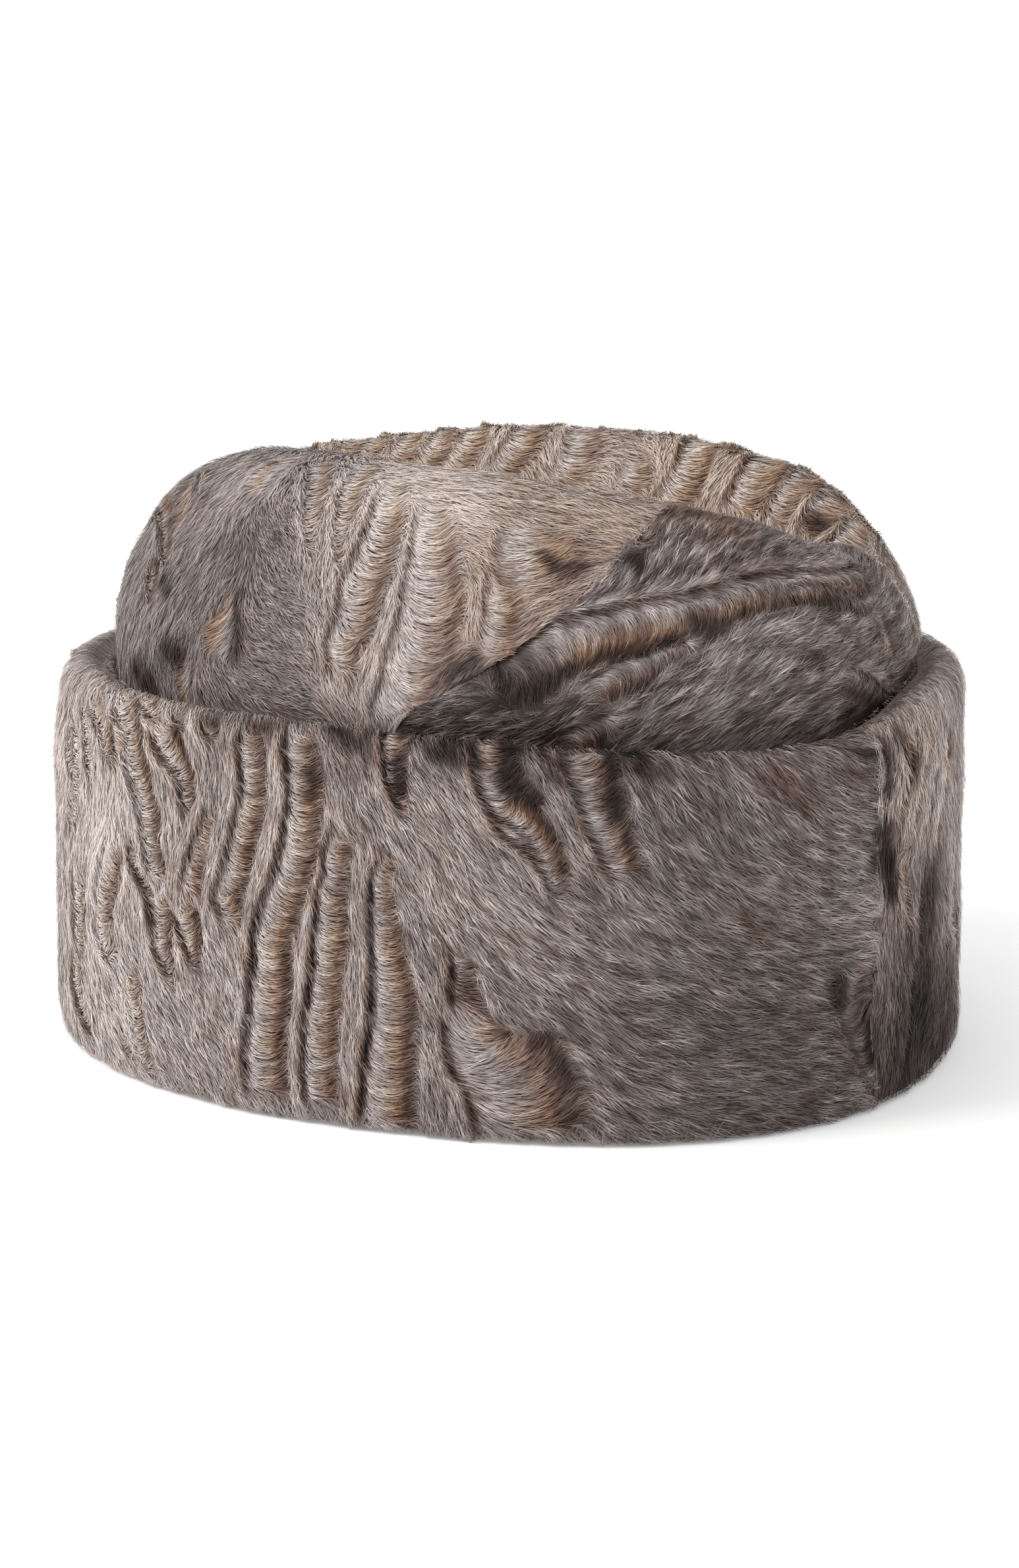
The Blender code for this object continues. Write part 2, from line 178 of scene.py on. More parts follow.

# Curls that the photograph shows.  A curl starts at a sharp edge, its trail of picture places x, y, x, y and
# so on, and lies across a band beside it: the band's width at the trail's start, middle and end in
# millimetres; 1 where the band is on the right of a trail that runs down the picture, else -1; how far its
# hairs swing from one side of the band to the other, in degrees; its height in millimetres; its share of
# tan; how black the painted shadow at its edge and the painted shade at its far side are.  A last number
# leans all its hairs along the trail, in degrees.
CURLS = {
    CUFF_LEFT: (
        ((104, 1062, 97, 1120, 98, 1180, 92, 1250), 4, 5, 4, 1, 30, .4, .4, .25, .15),
        ((108, 1090, 104, 1140, 102, 1200, 99, 1260), 5, 6, 4, 1, 30, .4, .4, .3, .1),
        ((116, 1064, 119, 1100, 124, 1150, 130, 1190), 4, 5, 3, 1, 30, .4, .4, .3, .2),
        ((126, 1066, 136, 1092, 148, 1120, 153, 1160), 6, 6, 4, 1, 35, .6, .7, .2, .6),
        ((176, 1066, 166, 1092, 163, 1130, 160, 1160), 5, 5, 3, 1, 30, .6, .5, .7, .3),
        ((166, 1072, 176, 1110, 188, 1165, 197, 1215, 210, 1275, 214, 1306, 232, 1345),
         8, 8, 6, 1, 40, .9, .6, .1, .9),
        ((204, 1064, 214, 1085, 228, 1102), 5, 5, 4, 1, 35, .9, .8, .6, .9),
        ((222, 1108, 230, 1138, 246, 1163, 262, 1184, 266, 1213, 272, 1240),
         10, 8, 2.5, 1, 40, 1.1, .6, .9, 1),
        ((252, 1082, 262, 1096, 272, 1110), 4, 4, 3, 1, 40, .8, .7, .9, .7),
        ((300, 1086, 296, 1104, 306, 1122, 318, 1134), 6, 6, 4, 1, 40, .9, .9, .7, 1),
        ((310, 1222, 296, 1252, 283, 1288, 271, 1320, 265, 1348), 3, 5, 7, 1, 40, 1, .9, .9, .8),
        ((364, 1098, 355, 1127, 356, 1199, 349, 1234, 342, 1270, 326, 1327, 317, 1356, 322, 1388,
          332, 1412), 7, 8, 7, 1, 42, 1.1, .7, .7, .9),
        ((431, 1104, 423, 1138, 428, 1174, 426, 1234, 412, 1316, 389, 1366, 376, 1416, 374, 1480,
          369, 1541, 365, 1594, 370, 1664), 9, 11, 11.5, 1, 42, 1.2, .7, .9, .8),
        ((498, 1252, 487, 1288, 480, 1324, 471, 1359, 467, 1416, 464, 1469, 458, 1530, 450, 1625,
          458, 1680), 6.5, 9, 9.5, 1, 42, 1.2, .7, .9, .7),
        ((583, 1112, 572, 1145, 576, 1181, 589, 1213, 598, 1244), 8, 6, 2.5, 1, 35, 1.2, .9, 1, 1),
        ((580, 1288, 560, 1327, 556, 1377, 555, 1469, 556, 1534, 545, 1620, 537, 1704),
         4, 11, 15, 1, 42, 1.2, .75, .9, .7),
        ((165, 1262, 150, 1290, 143, 1325, 139, 1370, 140, 1410, 150, 1446, 166, 1468),
         8, 8, 7, 1, 40, .8, .5, .0, .8),
        ((184, 1470, 186, 1505, 190, 1541, 198, 1580, 210, 1612, 226, 1632), 5, 5, 3, 1, 40, .8, 1, .0, .9),
        ((188, 1268, 190, 1306, 203, 1334, 215, 1361, 218, 1413), 3.5, 4, 3, 1, 30, .9, .7, 1, .5),
        ((217, 1363, 221, 1406, 228, 1444, 240, 1472, 247, 1498), 8, 7, 2, 1, 38, .9, .7, .8, 1),
        ((252, 1385, 262, 1414, 274, 1441, 288, 1478), 9, 7, 2, 1, 38, 1, .8, .9, 1),
        ((107, 1300, 104, 1340, 106, 1400, 104, 1440), 8, 8, 8, 1, 30, .5, .5, .45, .1),
        ((104, 1440, 103, 1473, 107, 1512, 116, 1545, 132, 1578), 7, 6, 3, 1, 30, .8, .7, .8, .4),
        ((179, 1584, 186, 1598, 196, 1614), 3, 3, 2, 1, 30, .7, .7, .8, .3),
        ((717, 1116, 706, 1154, 714, 1186, 726, 1218, 760, 1271, 803, 1307, 840, 1374),
         10.5, 14, 3, 1, 38, 1.2, .8, .8, 1),
        ((748, 1246, 772, 1262, 800, 1284, 812, 1310), 5, 7, 4, 1, 40, .8, .7, .9, .6),
        ((855, 1114, 842, 1143, 853, 1179, 864, 1211, 892, 1279, 924, 1343),
         12, 11, 8, 1, 36, 1.2, .75, .8, 1),
        ((676, 1446, 678, 1491, 672, 1526), 5, 6.5, 10, 1, 35, 1.2, .7, 1.2, .9),
        ((668, 1540, 669, 1580, 678, 1627, 694, 1652, 703, 1680, 714, 1732),
         15, 26, 27, 1, 45, 1.1, .7, .8, .75),
        ((1283, 1462, 1275, 1498, 1264, 1529, 1275, 1555, 1294, 1597, 1332, 1676),
         9, 12, 6, 1, 45, 1.3, .4, 1.3, .6),
        ((1326, 1460, 1330, 1490, 1345, 1525, 1352, 1560), 7, 6, 4, 1, 45, 1, .5, 1.1, .9),
        ((1346, 1262, 1334, 1288, 1340, 1320, 1352, 1350), 4, 4, 2, 1, 20, 1, .3, 1.2, .9),
    ),
    CUFF_RIGHT: (
        ((1366, 1112, 1376, 1150, 1374, 1180, 1362, 1216, 1357, 1250), 6, 6, 5, 1, 22, 1.2, .7, 1.3, .3, 58),
        ((1404, 1100, 1404, 1150, 1390, 1205, 1380, 1262), 6, 6, 5, 1, 22, 1, .8, .9, .3, 58),
        ((1436, 1110, 1432, 1180, 1420, 1260, 1416, 1320), 6, 7, 6, 1, 22, .8, .5, .7, .2, 58),
        ((1388, 1280, 1364, 1312, 1370, 1368, 1376, 1410), 6, 5, 4, 1, 22, 1.1, .9, 1.1, .5, 58),
        ((1396, 1330, 1392, 1380, 1396, 1440), 4, 5, 3, 1, 22, .9, .5, .9, .4, 58),
        ((1448, 1320, 1444, 1387, 1452, 1444, 1452, 1500), 7, 8, 7, 1, 22, .9, .8, .9, .4, 58),
        ((1376, 1470, 1378, 1520, 1374, 1570, 1366, 1630), 6, 6, 5, 1, 22, 1, .5, 1, .4, 58),
    ),
    CROWN_FRONT: (
        ((226, 764, 238, 790, 240, 825, 236, 862), 5, 5, 3, 1, 30, .9, 1, .2, 1),
        ((214, 868, 218, 886, 208, 908), 5, 5, 3, 1, 30, .9, .9, .3, 1.1),
        ((306, 708, 298, 744, 286, 790), 4, 9, 6, -1, 30, .7, .9, .7, .0, 50),
        ((470, 688, 440, 704, 404, 748), 4, 9, 7, -1, 30, .5, .6, .4, .0, 40),
        ((356, 898, 357, 932, 352, 968, 344, 1006), 3, 10, 9, -1, 30, .8, .9, 1.1, .0, 42),
        ((296, 1004, 288, 1040, 292, 1068), 5, 7, 6, -1, 30, .7, 1, .8, .0, 48),
        ((462, 700, 458, 740, 456, 790, 461, 838), 7, 6, 2, 1, 40, .5, .6, .1, .5),
        ((536, 700, 512, 740, 505, 780, 503, 822, 508, 866), 7, 5, 1.5, 1, 40, .6, .7, .2, .6),
        ((586, 721, 561, 754, 552, 789, 521, 861, 507, 900, 504, 932, 486, 975, 492, 1024),
         5, 12, 9, 1, 56, .8, .6, .4, .5),
        ((634, 757, 621, 789, 607, 871, 603, 914, 593, 950, 575, 1014, 557, 1088),
         7, 17, 17, 1, 57, .75, .45, .3, .4),
        ((740, 850, 731, 900, 730, 940, 716, 990), 6, 9, 10, 1, 40, .6, .6, .45, .4),
        ((756, 790, 747, 830, 748, 866, 752, 900), 16, 20, 16, 1, 30, .35, .6, .55, .1),
    ),
    CROWN_REAR: (
        ((960, 800, 952, 822, 960, 848), 5, 5, 2, 1, 30, .9, .6, .4, 1),
        ((742, 990, 776, 966, 830, 938, 870, 926), 13, 14, 15, -1, 40, 1.1, .3, .3, 1),
        ((858, 931, 894, 924, 940, 916, 1044, 895, 1133, 874, 1186, 863, 1300, 852),
         14, 9.5, 7.5, -1, 52, 1.3, .8, .2, .9),
        ((883, 1036, 926, 1006, 969, 984, 1011, 973, 1056, 965), 8, 8.5, 3, -1, 50, 1.2, .6, .2, .9),
        ((842, 1116, 880, 1098, 926, 1077), 8, 8, 5, -1, 48, 1, .9, .3, .8),
        ((1180, 888, 1240, 880, 1312, 896), 5, 6, 7, -1, 45, 1, .8, .4, 1),
        ((1326, 925, 1340, 965, 1350, 1010), 6, 6, 5, 1, 35, 1, .9, .6, .8),
        ((1284, 1006, 1316, 1020, 1350, 1052), 6, 6, 5, -1, 35, .8, .6, .4, .9),
    ),
    CROWN_RIGHT: (
        ((524, 662, 508, 676, 494, 690), 6, 6.5, 6, 1, 30, .36, .8, .2, .35),
        ((566, 652, 548, 672, 532, 692), 6, 6.5, 6, 1, 30, .36, .9, .2, .35),
        ((612, 644, 594, 668, 574, 696), 6, 7.5, 6, 1, 30, .42, .9, .26, .42),
        ((664, 638, 640, 668, 618, 699), 7, 7.5, 7, 1, 32, .48, .9, .33, .49),
        ((710, 636, 684, 672, 660, 704), 7, 8.5, 7, 1, 32, .48, .9, .33, .49),
        ((792, 630, 760, 670, 730, 710), 9, 9.5, 8, 1, 34, .54, .9, .33, .49),
        ((860, 640, 846, 680, 830, 718), 9, 10.5, 9, 1, 32, .42, .6, .2, .35),
        ((946, 690, 936, 715, 926, 738), 7, 9.5, 8, 1, 30, .42, .8, .26, .42),
        ((1036, 652, 1014, 706, 980, 756), 10, 11.5, 10, 1, 34, .6, 1, .52, .56),
        ((1146, 667, 1110, 722, 1088, 772), 11, 12.5, 10, 1, 38, .6, .9, .45, .42),
        ((1200, 698, 1168, 740, 1146, 790), 10, 10.5, 8, 1, 38, .54, .8, .39, .42),
        ((1244, 730, 1214, 770, 1200, 812), 9, 10.5, 8, 1, 42, .54, .8, .39, .56),
        ((1284, 775, 1262, 805, 1240, 832), 8, 8.5, 7, 1, 38, .54, .7, .39, .56),
        ((1340, 880, 1356, 920, 1384, 970), 7, 7.5, 6, 1, 30, .42, .6, .33, .35),
        ((214, 800, 204, 855, 206, 905), 6, 6.5, 5, 1, 30, .42, .5, .33, .42),
        ((184, 890, 178, 930, 176, 975), 6, 6.5, 5, 1, 30, .42, .6, .33, .49),
    ),
}

# Soft dark places, partly real dark patches of the fur and partly painted shade along the rim, the seams and
# the folds: trail on the picture, radius in millimetres, how dark and how warm they are
DARK_PATCHES_AND_SHADE = {
    CUFF_LEFT: (
        ((506, 1100, 530, 1128), 2.6, .75, .4), ((556, 1102, 550, 1140), 2.2, .55, .5),
        ((622, 1112, 668, 1122, 700, 1140), 2.6, .85, .4), ((664, 1136, 690, 1150), 3, 1, .2),
        ((602, 1160, 606, 1200), 1.7, .95, .6), ((714, 1126, 722, 1168), 1.8, .8, .6),
        ((772, 1126, 774, 1190, 800, 1212), 2.7, 1, .3), ((808, 1136, 850, 1176), 3.6, .55, .4),
        ((930, 1140, 928, 1200, 936, 1240), 2.3, 1, .4), ((936, 1142, 968, 1156), 3.2, .9, .3),
        ((968, 1160, 1010, 1172), 3, .45, .3), ((855, 1130, 852, 1170), 1.8, .7, .6),
        ((464, 1176, 470, 1216), 1.8, .7, .8), ((684, 1510, 696, 1500), 3, .6, .5),
        ((1290, 1136, 1330, 1146), 1.2, .55, .4), ((1270, 1168, 1316, 1184), 1.4, .4, .5),
        ((312, 1092, 330, 1100), 2.4, .55, .5), ((384, 1098, 404, 1104), 2.4, .6, .5),
        ((1342, 1272, 1340, 1306), 2.8, 1, .2), ((1279, 1496, 1276, 1530), 3, .8, .3),
        ((1330, 1560, 1352, 1590), 4.6, .95, .2), ((1300, 1560, 1324, 1600), 4, .45, .3),
        ((1180, 1180, 1230, 1215), 3.5, .18, .6), ((1138, 1400, 1150, 1420), 1.8, .35, .7),
    ),
    CUFF_RIGHT: (
        ((1424, 1325, 1412, 1400, 1404, 1480, 1404, 1560), 6, .75, .3),
        ((1386, 1440, 1384, 1560, 1380, 1640), 5, .4, .2),
        ((1352, 1262, 1350, 1310, 1358, 1350), 3, 1, .2),
        ((1338, 1118, 1350, 1150, 1352, 1200), 1.8, .85, .5),
        ((1364, 1110, 1390, 1150, 1398, 1190), 2.4, .6, .6), ((1446, 1130, 1444, 1146), 2, .55, .7),
    ),
    CROWN_FRONT: (
        ((250, 994, 262, 1000), 4, .8, .2), ((205, 1020, 222, 1040), 4, .7, .2),
        ((822, 842, 850, 856, 884, 860), 1.6, .65, .5), ((836, 862, 870, 874), 1.5, .5, .5),
        ((360, 900, 360, 960, 352, 1000), 1.2, .8, .6), ((242, 884, 248, 892), 2.2, .6, .2),
        ((664, 1040, 720, 1000), 2.6, .55, .2),
    ),
    CROWN_REAR: (
        ((960, 846, 964, 850), 2.2, .8, .2), ((1000, 775, 1060, 775, 1120, 800), 4.5, .25, .7),
        ((742, 1070, 800, 1050, 840, 1036), 3.4, .65, .2), ((750, 1010, 800, 990), 6, .4, .1),
        ((1060, 936, 1084, 952), 3, .6, .3), ((1226, 990, 1250, 1004), 2.4, .45, .3),
        ((1290, 1100, 1350, 1080), 4, .5, .2),
    ),
    CROWN_RIGHT: (
        ((1234, 786, 1242, 796), 3.2, .8, .8),
    ),
}

# The way that the hair lies, and its colour, where no curl bends it: picture place x and y; angle in
# degrees, clockwise on the picture from pointing right; shade from black at 0 to white at 1; warmth from
# grey at 0 to tan at 1; length of the hair in millimetres.  The shade is partly the fur's own tone and
# partly painted light: a painted highlight on the cuff's far left end, which faces the light, and painted
# shade along the rim and towards the cuff's lower right.
FLOWS = {
    CUFF_LEFT: (
        (110, 1150, 95, .88, .22, 6), (150, 1230, 88, .9, .22, 6), (120, 1450, 75, .9, .22, 6),
        (170, 1540, 60, .88, .19, 6), (210, 1150, 78, .74, .22, 6), (250, 1300, 84, .74, .19, 6),
        (200, 1090, 60, .82, .28, 6), (300, 1180, 82, .68, .22, 6), (260, 1560, 55, .76, .15, 6),
        (330, 1600, 52, .68, .15, 6), (320, 1450, 65, .7, .19, 6), (310, 1300, 86, .7, .19, 6),
        (400, 1200, 84, .74, .19, 6), (395, 1290, 96, .74, .19, 6), (500, 1160, 62, .58, .19, 6),
        (520, 1220, 66, .66, .19, 6), (470, 1300, 98, .66, .19, 6), (445, 1550, 84, .66, .19, 6),
        (530, 1500, 80, .69, .19, 6), (545, 1350, 70, .66, .19, 6), (640, 1220, 52, .74, .22, 6),
        (650, 1320, 55, .68, .19, 6), (640, 1150, 60, .58, .12, 6), (640, 1450, 66, .64, .15, 6),
        (645, 1600, 66, .62, .15, 6), (690, 1710, 72, .6, .15, 6), (740, 1380, 42, .68, .15, 6.5),
        (800, 1180, 58, .56, .12, 6), (850, 1280, 52, .56, .12, 6.5), (830, 1440, 30, .61, .12, 7),
        (880, 1560, 40, .56, .12, 7), (900, 1700, 40, .54, .12, 6.5), (950, 1400, 38, .56, .09, 7),
        (960, 1500, 14, .5, .07, 7), (980, 1620, 12, .47, .07, 7), (1000, 1180, 52, .52, .07, 6.5),
        (1000, 1270, 45, .52, .09, 7), (1080, 1340, 34, .5, .09, 7), (1100, 1210, 58, .48, .09, 6.5),
        (1120, 1450, 14, .45, .07, 7), (1100, 1600, 2, .4, .07, 7), (1200, 1220, 48, .5, .11, 6.5),
        (1230, 1330, 20, .5, .09, 7), (1250, 1450, 8, .46, .07, 7), (1200, 1560, 0, .4, .07, 7),
        (1180, 1690, 4, .38, .07, 6.5), (1330, 1180, 14, .52, .15, 6.5), (1320, 1390, 4, .6, .09, 6.5),
        (1280, 1150, 30, .56, .19, 6.5), (1100, 1150, 60, .56, .09, 6), (600, 1105, 80, .58, .19, 6),
        (400, 1092, 82, .58, .25, 6),
    ),
    CUFF_RIGHT: (
        (1385, 1140, 95, .8, .23, 6), (1420, 1200, 98, .86, .23, 6), (1400, 1400, 90, .6, .2, 6),
        (1420, 1560, 110, .24, .16, 6), (1450, 1300, 92, .8, .23, 6), (1390, 1610, 100, .26, .16, 6),
    ),
    CROWN_FRONT: (
        (290, 780, 128, .6, .04, 5.5), (350, 860, 120, .51, .03, 5.5), (300, 900, 118, .52, .04, 5.5),
        (400, 820, 30, .53, .03, 5.5), (420, 900, 20, .55, .05, 5.5), (400, 1000, 18, .52, .09, 5.5),
        (460, 1060, 14, .52, .09, 5.5), (350, 740, 130, .79, .05, 5.5), (480, 850, 88, .72, .2, 5.5),
        (520, 1060, 60, .64, .3, 5.5), (500, 800, 98, .8, .25, 6), (540, 1010, 105, .76, .3, 6),
        (598, 900, 102, .74, .25, 6), (600, 1060, 100, .72, .35, 6), (708, 930, 104, .77, .42, 6),
        (600, 730, 18, .99, .33, 6.5), (700, 760, 20, .99, .43, 6.5), (660, 712, 12, .99, .38, 6.5),
        (800, 770, 24, .76, .57, 6.5), (900, 770, 30, .8, .52, 6.5), (850, 830, 10, .62, .57, 6.5),
        (790, 900, 350, .7, .57, 6.5), (870, 890, 340, .58, .47, 6.5), (800, 940, 330, .58, .42, 6.5),
        (430, 690, 140, .74, .07, 5.5), (700, 1020, 320, .55, .37, 6),
    ),
    CROWN_REAR: (
        (1010, 810, 300, .48, .22, 6), (1080, 850, 315, .5, .22, 6), (970, 870, 290, .5, .12, 6.5),
        (1060, 790, 320, .42, .35, 5.5), (1160, 840, 335, .44, .22, 6), (1240, 850, 350, .52, .22, 6),
        (900, 930, 330, .48, .1, 6.5), (780, 1040, 120, .28, .1, 7), (860, 1100, 325, .36, .15, 7),
        (740, 1090, 345, .36, .12, 6.5), (1000, 1080, 322, .4, .12, 7.5), (1100, 1000, 325, .53, .12, 7.5),
        (1200, 960, 335, .54, .12, 7.5), (1150, 1090, 330, .5, .12, 7.5), (1260, 1040, 335, .42, .14, 7.5),
        (1310, 930, 330, .46, .2, 7), (1330, 1090, 330, .38, .14, 6.5), (940, 980, 320, .46, .2, 7),
        # These two rows are lighter: a painted highlight on the crest of the rear crown's long curl
        (1000, 925, 330, .62, .12, 7), (860, 962, 330, .6, .12, 7),
    ),
    CROWN_RIGHT: (
        (560, 660, 105, .76, .5, 6), (650, 660, 110, .8, .5, 6), (730, 650, 110, .82, .5, 6),
        (820, 650, 60, .78, .5, 6), (900, 670, 20, .78, .45, 6.5), (960, 690, 15, .78, .5, 6.5),
        (1010, 680, 95, .82, .65, 6), (1090, 710, 118, .79, .6, 6), (1180, 720, 140, .74, .7, 6),
        (1260, 790, 150, .76, .6, 6), (1300, 830, 120, .88, .5, 6), (1390, 980, 100, .62, .5, 6),
        (190, 850, 110, .66, .2, 5.5), (170, 960, 100, .62, .3, 5.5),
    ),
}

# The same for the sides that the photograph hides, from a turn in degrees from the back, a section
# number and an angle that runs from along the turn at 0 to straight down at 90
BACK_FLOWS = {
    CUFF_LEFT: (
        (170, 10, 90, .72, .22, 6), (190, 12, 80, .72, .22, 6),
    ),
    CUFF_RIGHT: (
        (360, 10, 85, .62, .2, 6), (390, 9, 78, .62, .16, 6.5), (390, 12, 95, .58, .16, 6.5),
        (425, 10, 70, .62, .13, 6.5), (450, 9, 84, .66, .2, 6.5), (450, 12, 60, .6, .13, 6.5),
        (480, 10, 95, .68, .23, 6), (510, 9, 88, .7, .23, 6), (515, 12, 80, .68, .2, 6),
    ),
    CROWN_FRONT: (
        (250, 8.5, 265, .72, .4, 6),
    ),
    CROWN_REAR: (
        (330, 8.5, 270, .5, .25, 6),
    ),
    CROWN_RIGHT: (
        (15, 3.5, 80, .66, .3, 6), (45, 4, 95, .7, .45, 6), (70, 3, 75, .68, .4, 6),
        (90, 5, 92, .74, .5, 6), (110, 3, 70, .66, .35, 6), (135, 4.5, 100, .68, .35, 6),
        (160, 3, 82, .66, .25, 6), (185, 4, 90, .66, .22, 6),
    ),
}

# Rows of curls on the sides that the photograph hides: first and last turn, first and last
# section, how many, and seed
GROWN_CURLS = {
    CUFF_LEFT: (
        (166, 204, 6.6, 13.2, 10, 6),
    ),
    CUFF_RIGHT: (
        (386, 516, 6.6, 13.2, 36, 5),
    ),
    CROWN_FRONT: (
        (205, 300, 6.6, 9, 12, 9),
    ),
    CROWN_REAR: (
        (318, 350, 6.6, 9, 5, 10),
    ),
    CROWN_RIGHT: (
        (32, 186, 2.3, 6.3, 30, 7), (150, 176, 6.4, 8.6, 4, 8),
    ),
}


def column(table, columns, name):
    """One named column of a table as an array of numbers."""
    place = columns.index(name)
    return np.array([row[place] for row in table], dtype=float)


def smooth(low, high, value):
    """Share of the way from low to high, eased at both ends."""
    share = np.clip((value - low) / (high - low), 0.0, 1.0)
    return share * share * (3.0 - 2.0 * share)


def unit(vectors):
    """Vectors at length one."""
    return vectors / np.maximum(np.linalg.norm(vectors, axis=-1, keepdims=True), 1e-12)


def dot(first, second):
    """Scalar products of two arrays of vectors."""
    return np.sum(first * second, axis=-1)


def curve(before, start, end, after, share):
    """Cubic from start to end whose slopes are half of end minus before, and of after minus start."""
    bend = 3 * (start - end) + after - before
    turn = 2 * before - 5 * start + 4 * end - after
    return start + 0.5 * share * ((end - before) + share * (turn + share * bend))


def along(values, place):
    """Smooth reading of a column at a place counted in rows."""
    last = len(values) - 1
    first = np.clip(place.astype(int), 0, last - 1)
    before = values[np.maximum(first - 1, 0)]
    after = values[np.minimum(first + 2, last)]
    return curve(before, values[first], values[first + 1], after, place - first)


def around(values, place):
    """Smooth reading of a column that closes on itself, at a place counted in rows."""
    count = len(values)
    first = np.floor(place).astype(int)
    points = [values[(first + shift) % count] for shift in (-1, 0, 1, 2)]
    return curve(*points, place - first)


def plan(turn, square):
    """Plan outline: a circle raised to a power of two or more, which fills its corners."""
    power = 2.0 + SQUARENESS * square
    cosine = np.cos(np.radians(turn))
    sine = np.sin(np.radians(turn))
    reach = (np.abs(cosine) ** power + np.abs(sine) ** power) ** (-1.0 / power)
    return reach * cosine, reach * sine


def crown_surface(turn, place):
    """Crown: at each section an oval whose height follows the ridge, less the crease's depth.

    Towards the crease's floor each side comes to the mean height of both.
    """
    read = {name: along(column(CROWN_SECTIONS, CROWN_COLUMNS, name), place)
            for name in ("skirt", "rise", "sink", "front", "back", "left", "right", "square")}
    ahead, aside = plan(turn, read["square"])
    x = ahead * (HEAD_LENGTH / 2 + CROWN_WALL) * np.where(ahead > 0, read["back"], read["front"])
    y = aside * (HEAD_WIDTH / 2 + CROWN_WALL) * np.where(aside > 0, read["right"], read["left"])
    foot = FOOT_THICKNESS + SEAT_GAP
    heights = np.array(RIDGE_HEIGHTS)
    here, opposite = (around(heights, side / 360.0 * len(heights)) for side in (turn, 360.0 - turn))
    ridge = CROWN_RISE * (here + 0.5 * (opposite - here) * smooth(8.6, 10.0, place))
    crease = CREASE_DEPTH * np.sqrt(1.0 - (0.8 * np.cos(np.radians(turn))) ** 2)
    z = foot + (CUFF_HEIGHT - foot) * read["skirt"] + ridge * read["rise"] - crease * read["sink"]
    return np.stack([x, y, z], axis=-1)


def bell(turn, middle, width):
    """Bell curve of a turn about a middle turn, both in degrees."""
    return np.exp(-(((turn - middle + 180.0) % 360.0 - 180.0) / width) ** 2)


def cuff_surface(turn, place):
    """Cuff: its section read round its loop, pushed out from the oval seat and up to the rim.

    The front left slumps outwards, by a bell curve of the turn that fades towards the rim.
    """
    out, foot, up = (around(column(CUFF_SECTION, CUFF_COLUMNS, name), place)
                     for name in ("out", "foot", "up"))
    ahead, aside = plan(turn, 1.0)
    inside = CROWN_WALL + SEAT_GAP
    slump = 2.0 * MM * bell(turn, 205.0, 32.0) * (1.0 - smooth(0.70, 0.98, up)) * smooth(-0.1, 0.2, up)
    slump = slump + 4.6 * MM * bell(turn, 262.0, 40.0) * (1.0 - smooth(0.0, 0.45, up))
    slump = slump * np.clip(out, 0.0, 1.0)
    end = out * np.where(out > 0, CUFF_END_THICKNESS, inside) + slump
    side = out * np.where(out > 0, CUFF_SIDE_THICKNESS, inside) + slump
    heights = np.array(RIM_HEIGHTS)
    rim = CUFF_HEIGHT * around(heights, turn / 360.0 * len(heights))
    x = ahead * (HEAD_LENGTH / 2 + inside + end)
    y = aside * (HEAD_WIDTH / 2 + inside + side)
    z = np.maximum(foot * FOOT_THICKNESS + up * rim, 0.0)
    return np.stack([x, y, z], axis=-1)


def value_noise(points, size, seed):
    """Noise from -1 to 1: random values on a lattice of the given size, eased between them.

    Each use of it has a seed of its own, so that no two run alike.
    """
    place = points / size + 1000.0 + 17.0 * seed
    cell = np.floor(place).astype(np.int64)
    share = place - cell
    share = share * share * (3.0 - 2.0 * share)
    total = np.zeros(points.shape[:-1])
    for corner in np.ndindex(2, 2, 2):
        spot = cell + np.array(corner)
        key = spot[..., 0] * 73856093 ^ spot[..., 1] * 19349663 ^ spot[..., 2] * 83492791 ^ seed * 2654435
        key = (key ^ (key >> 13)) * 1274126177 & 0x7FFFFFFF
        weight = np.prod(np.where(np.array(corner) == 1, share, 1.0 - share), axis=-1)
        total += weight * ((key ^ (key >> 16)) % 65536 / 32767.5 - 1.0)
    return total


def camera_frame():
    """Camera's place, and its directions forward, right and up."""
    azimuth = np.radians(CAMERA_AZIMUTH)
    pitch = np.radians(CAMERA_PITCH)
    place = np.array([CAMERA_DISTANCE * np.sin(azimuth), -CAMERA_DISTANCE * np.cos(azimuth), CAMERA_HEIGHT])
    forward = np.array([-np.sin(azimuth) * np.cos(pitch), np.cos(azimuth) * np.cos(pitch), -np.sin(pitch)])
    right = np.array([np.cos(azimuth), np.sin(azimuth), 0.0])
    return place, forward, right, np.cross(right, forward)


def on_picture(points):
    """Pixels of the photograph where points show."""
    place, forward, right, up = camera_frame()
    from_camera = points - place
    depth = dot(from_camera, forward)
    x = PHOTO_WIDTH / 2 + CAMERA_FOCUS * dot(from_camera, right) / depth
    y = PHOTO_HEIGHT / 2 - CAMERA_FOCUS * dot(from_camera, up) / depth
    return np.stack([x, y], axis=-1)


def even_places(surface, turn, first, last, spacing):
    """Section places from first to last whose points on the surface are evenly spaced."""
    fine = np.linspace(first, last, 800)
    points = surface(np.full_like(fine, turn), fine)
    length = np.concatenate([[0.0], np.cumsum(np.linalg.norm(np.diff(points, axis=0), axis=1))])
    count = int(np.ceil(length[-1] / spacing)) + 1
    return np.interp(np.linspace(0.0, length[-1], count), length, fine)


def seams_of(name, places):
    """Turns of a pelt's two seams at each section place."""
    if name in (CUFF_LEFT, CUFF_RIGHT):
        first = 0 if name == CUFF_LEFT else 1
        return np.full_like(places, CUFF_SEAMS[first]), np.full_like(places, CUFF_SEAMS[first + 1])
    front, side, back = (along(column(CROWN_SECTIONS, CROWN_COLUMNS, seam), places)
                         for seam in ("front_seam", "side_seam", "back_seam"))
    return {CROWN_FRONT: (front, side), CROWN_REAR: (side, back), CROWN_RIGHT: (back - 360, front)}[name]


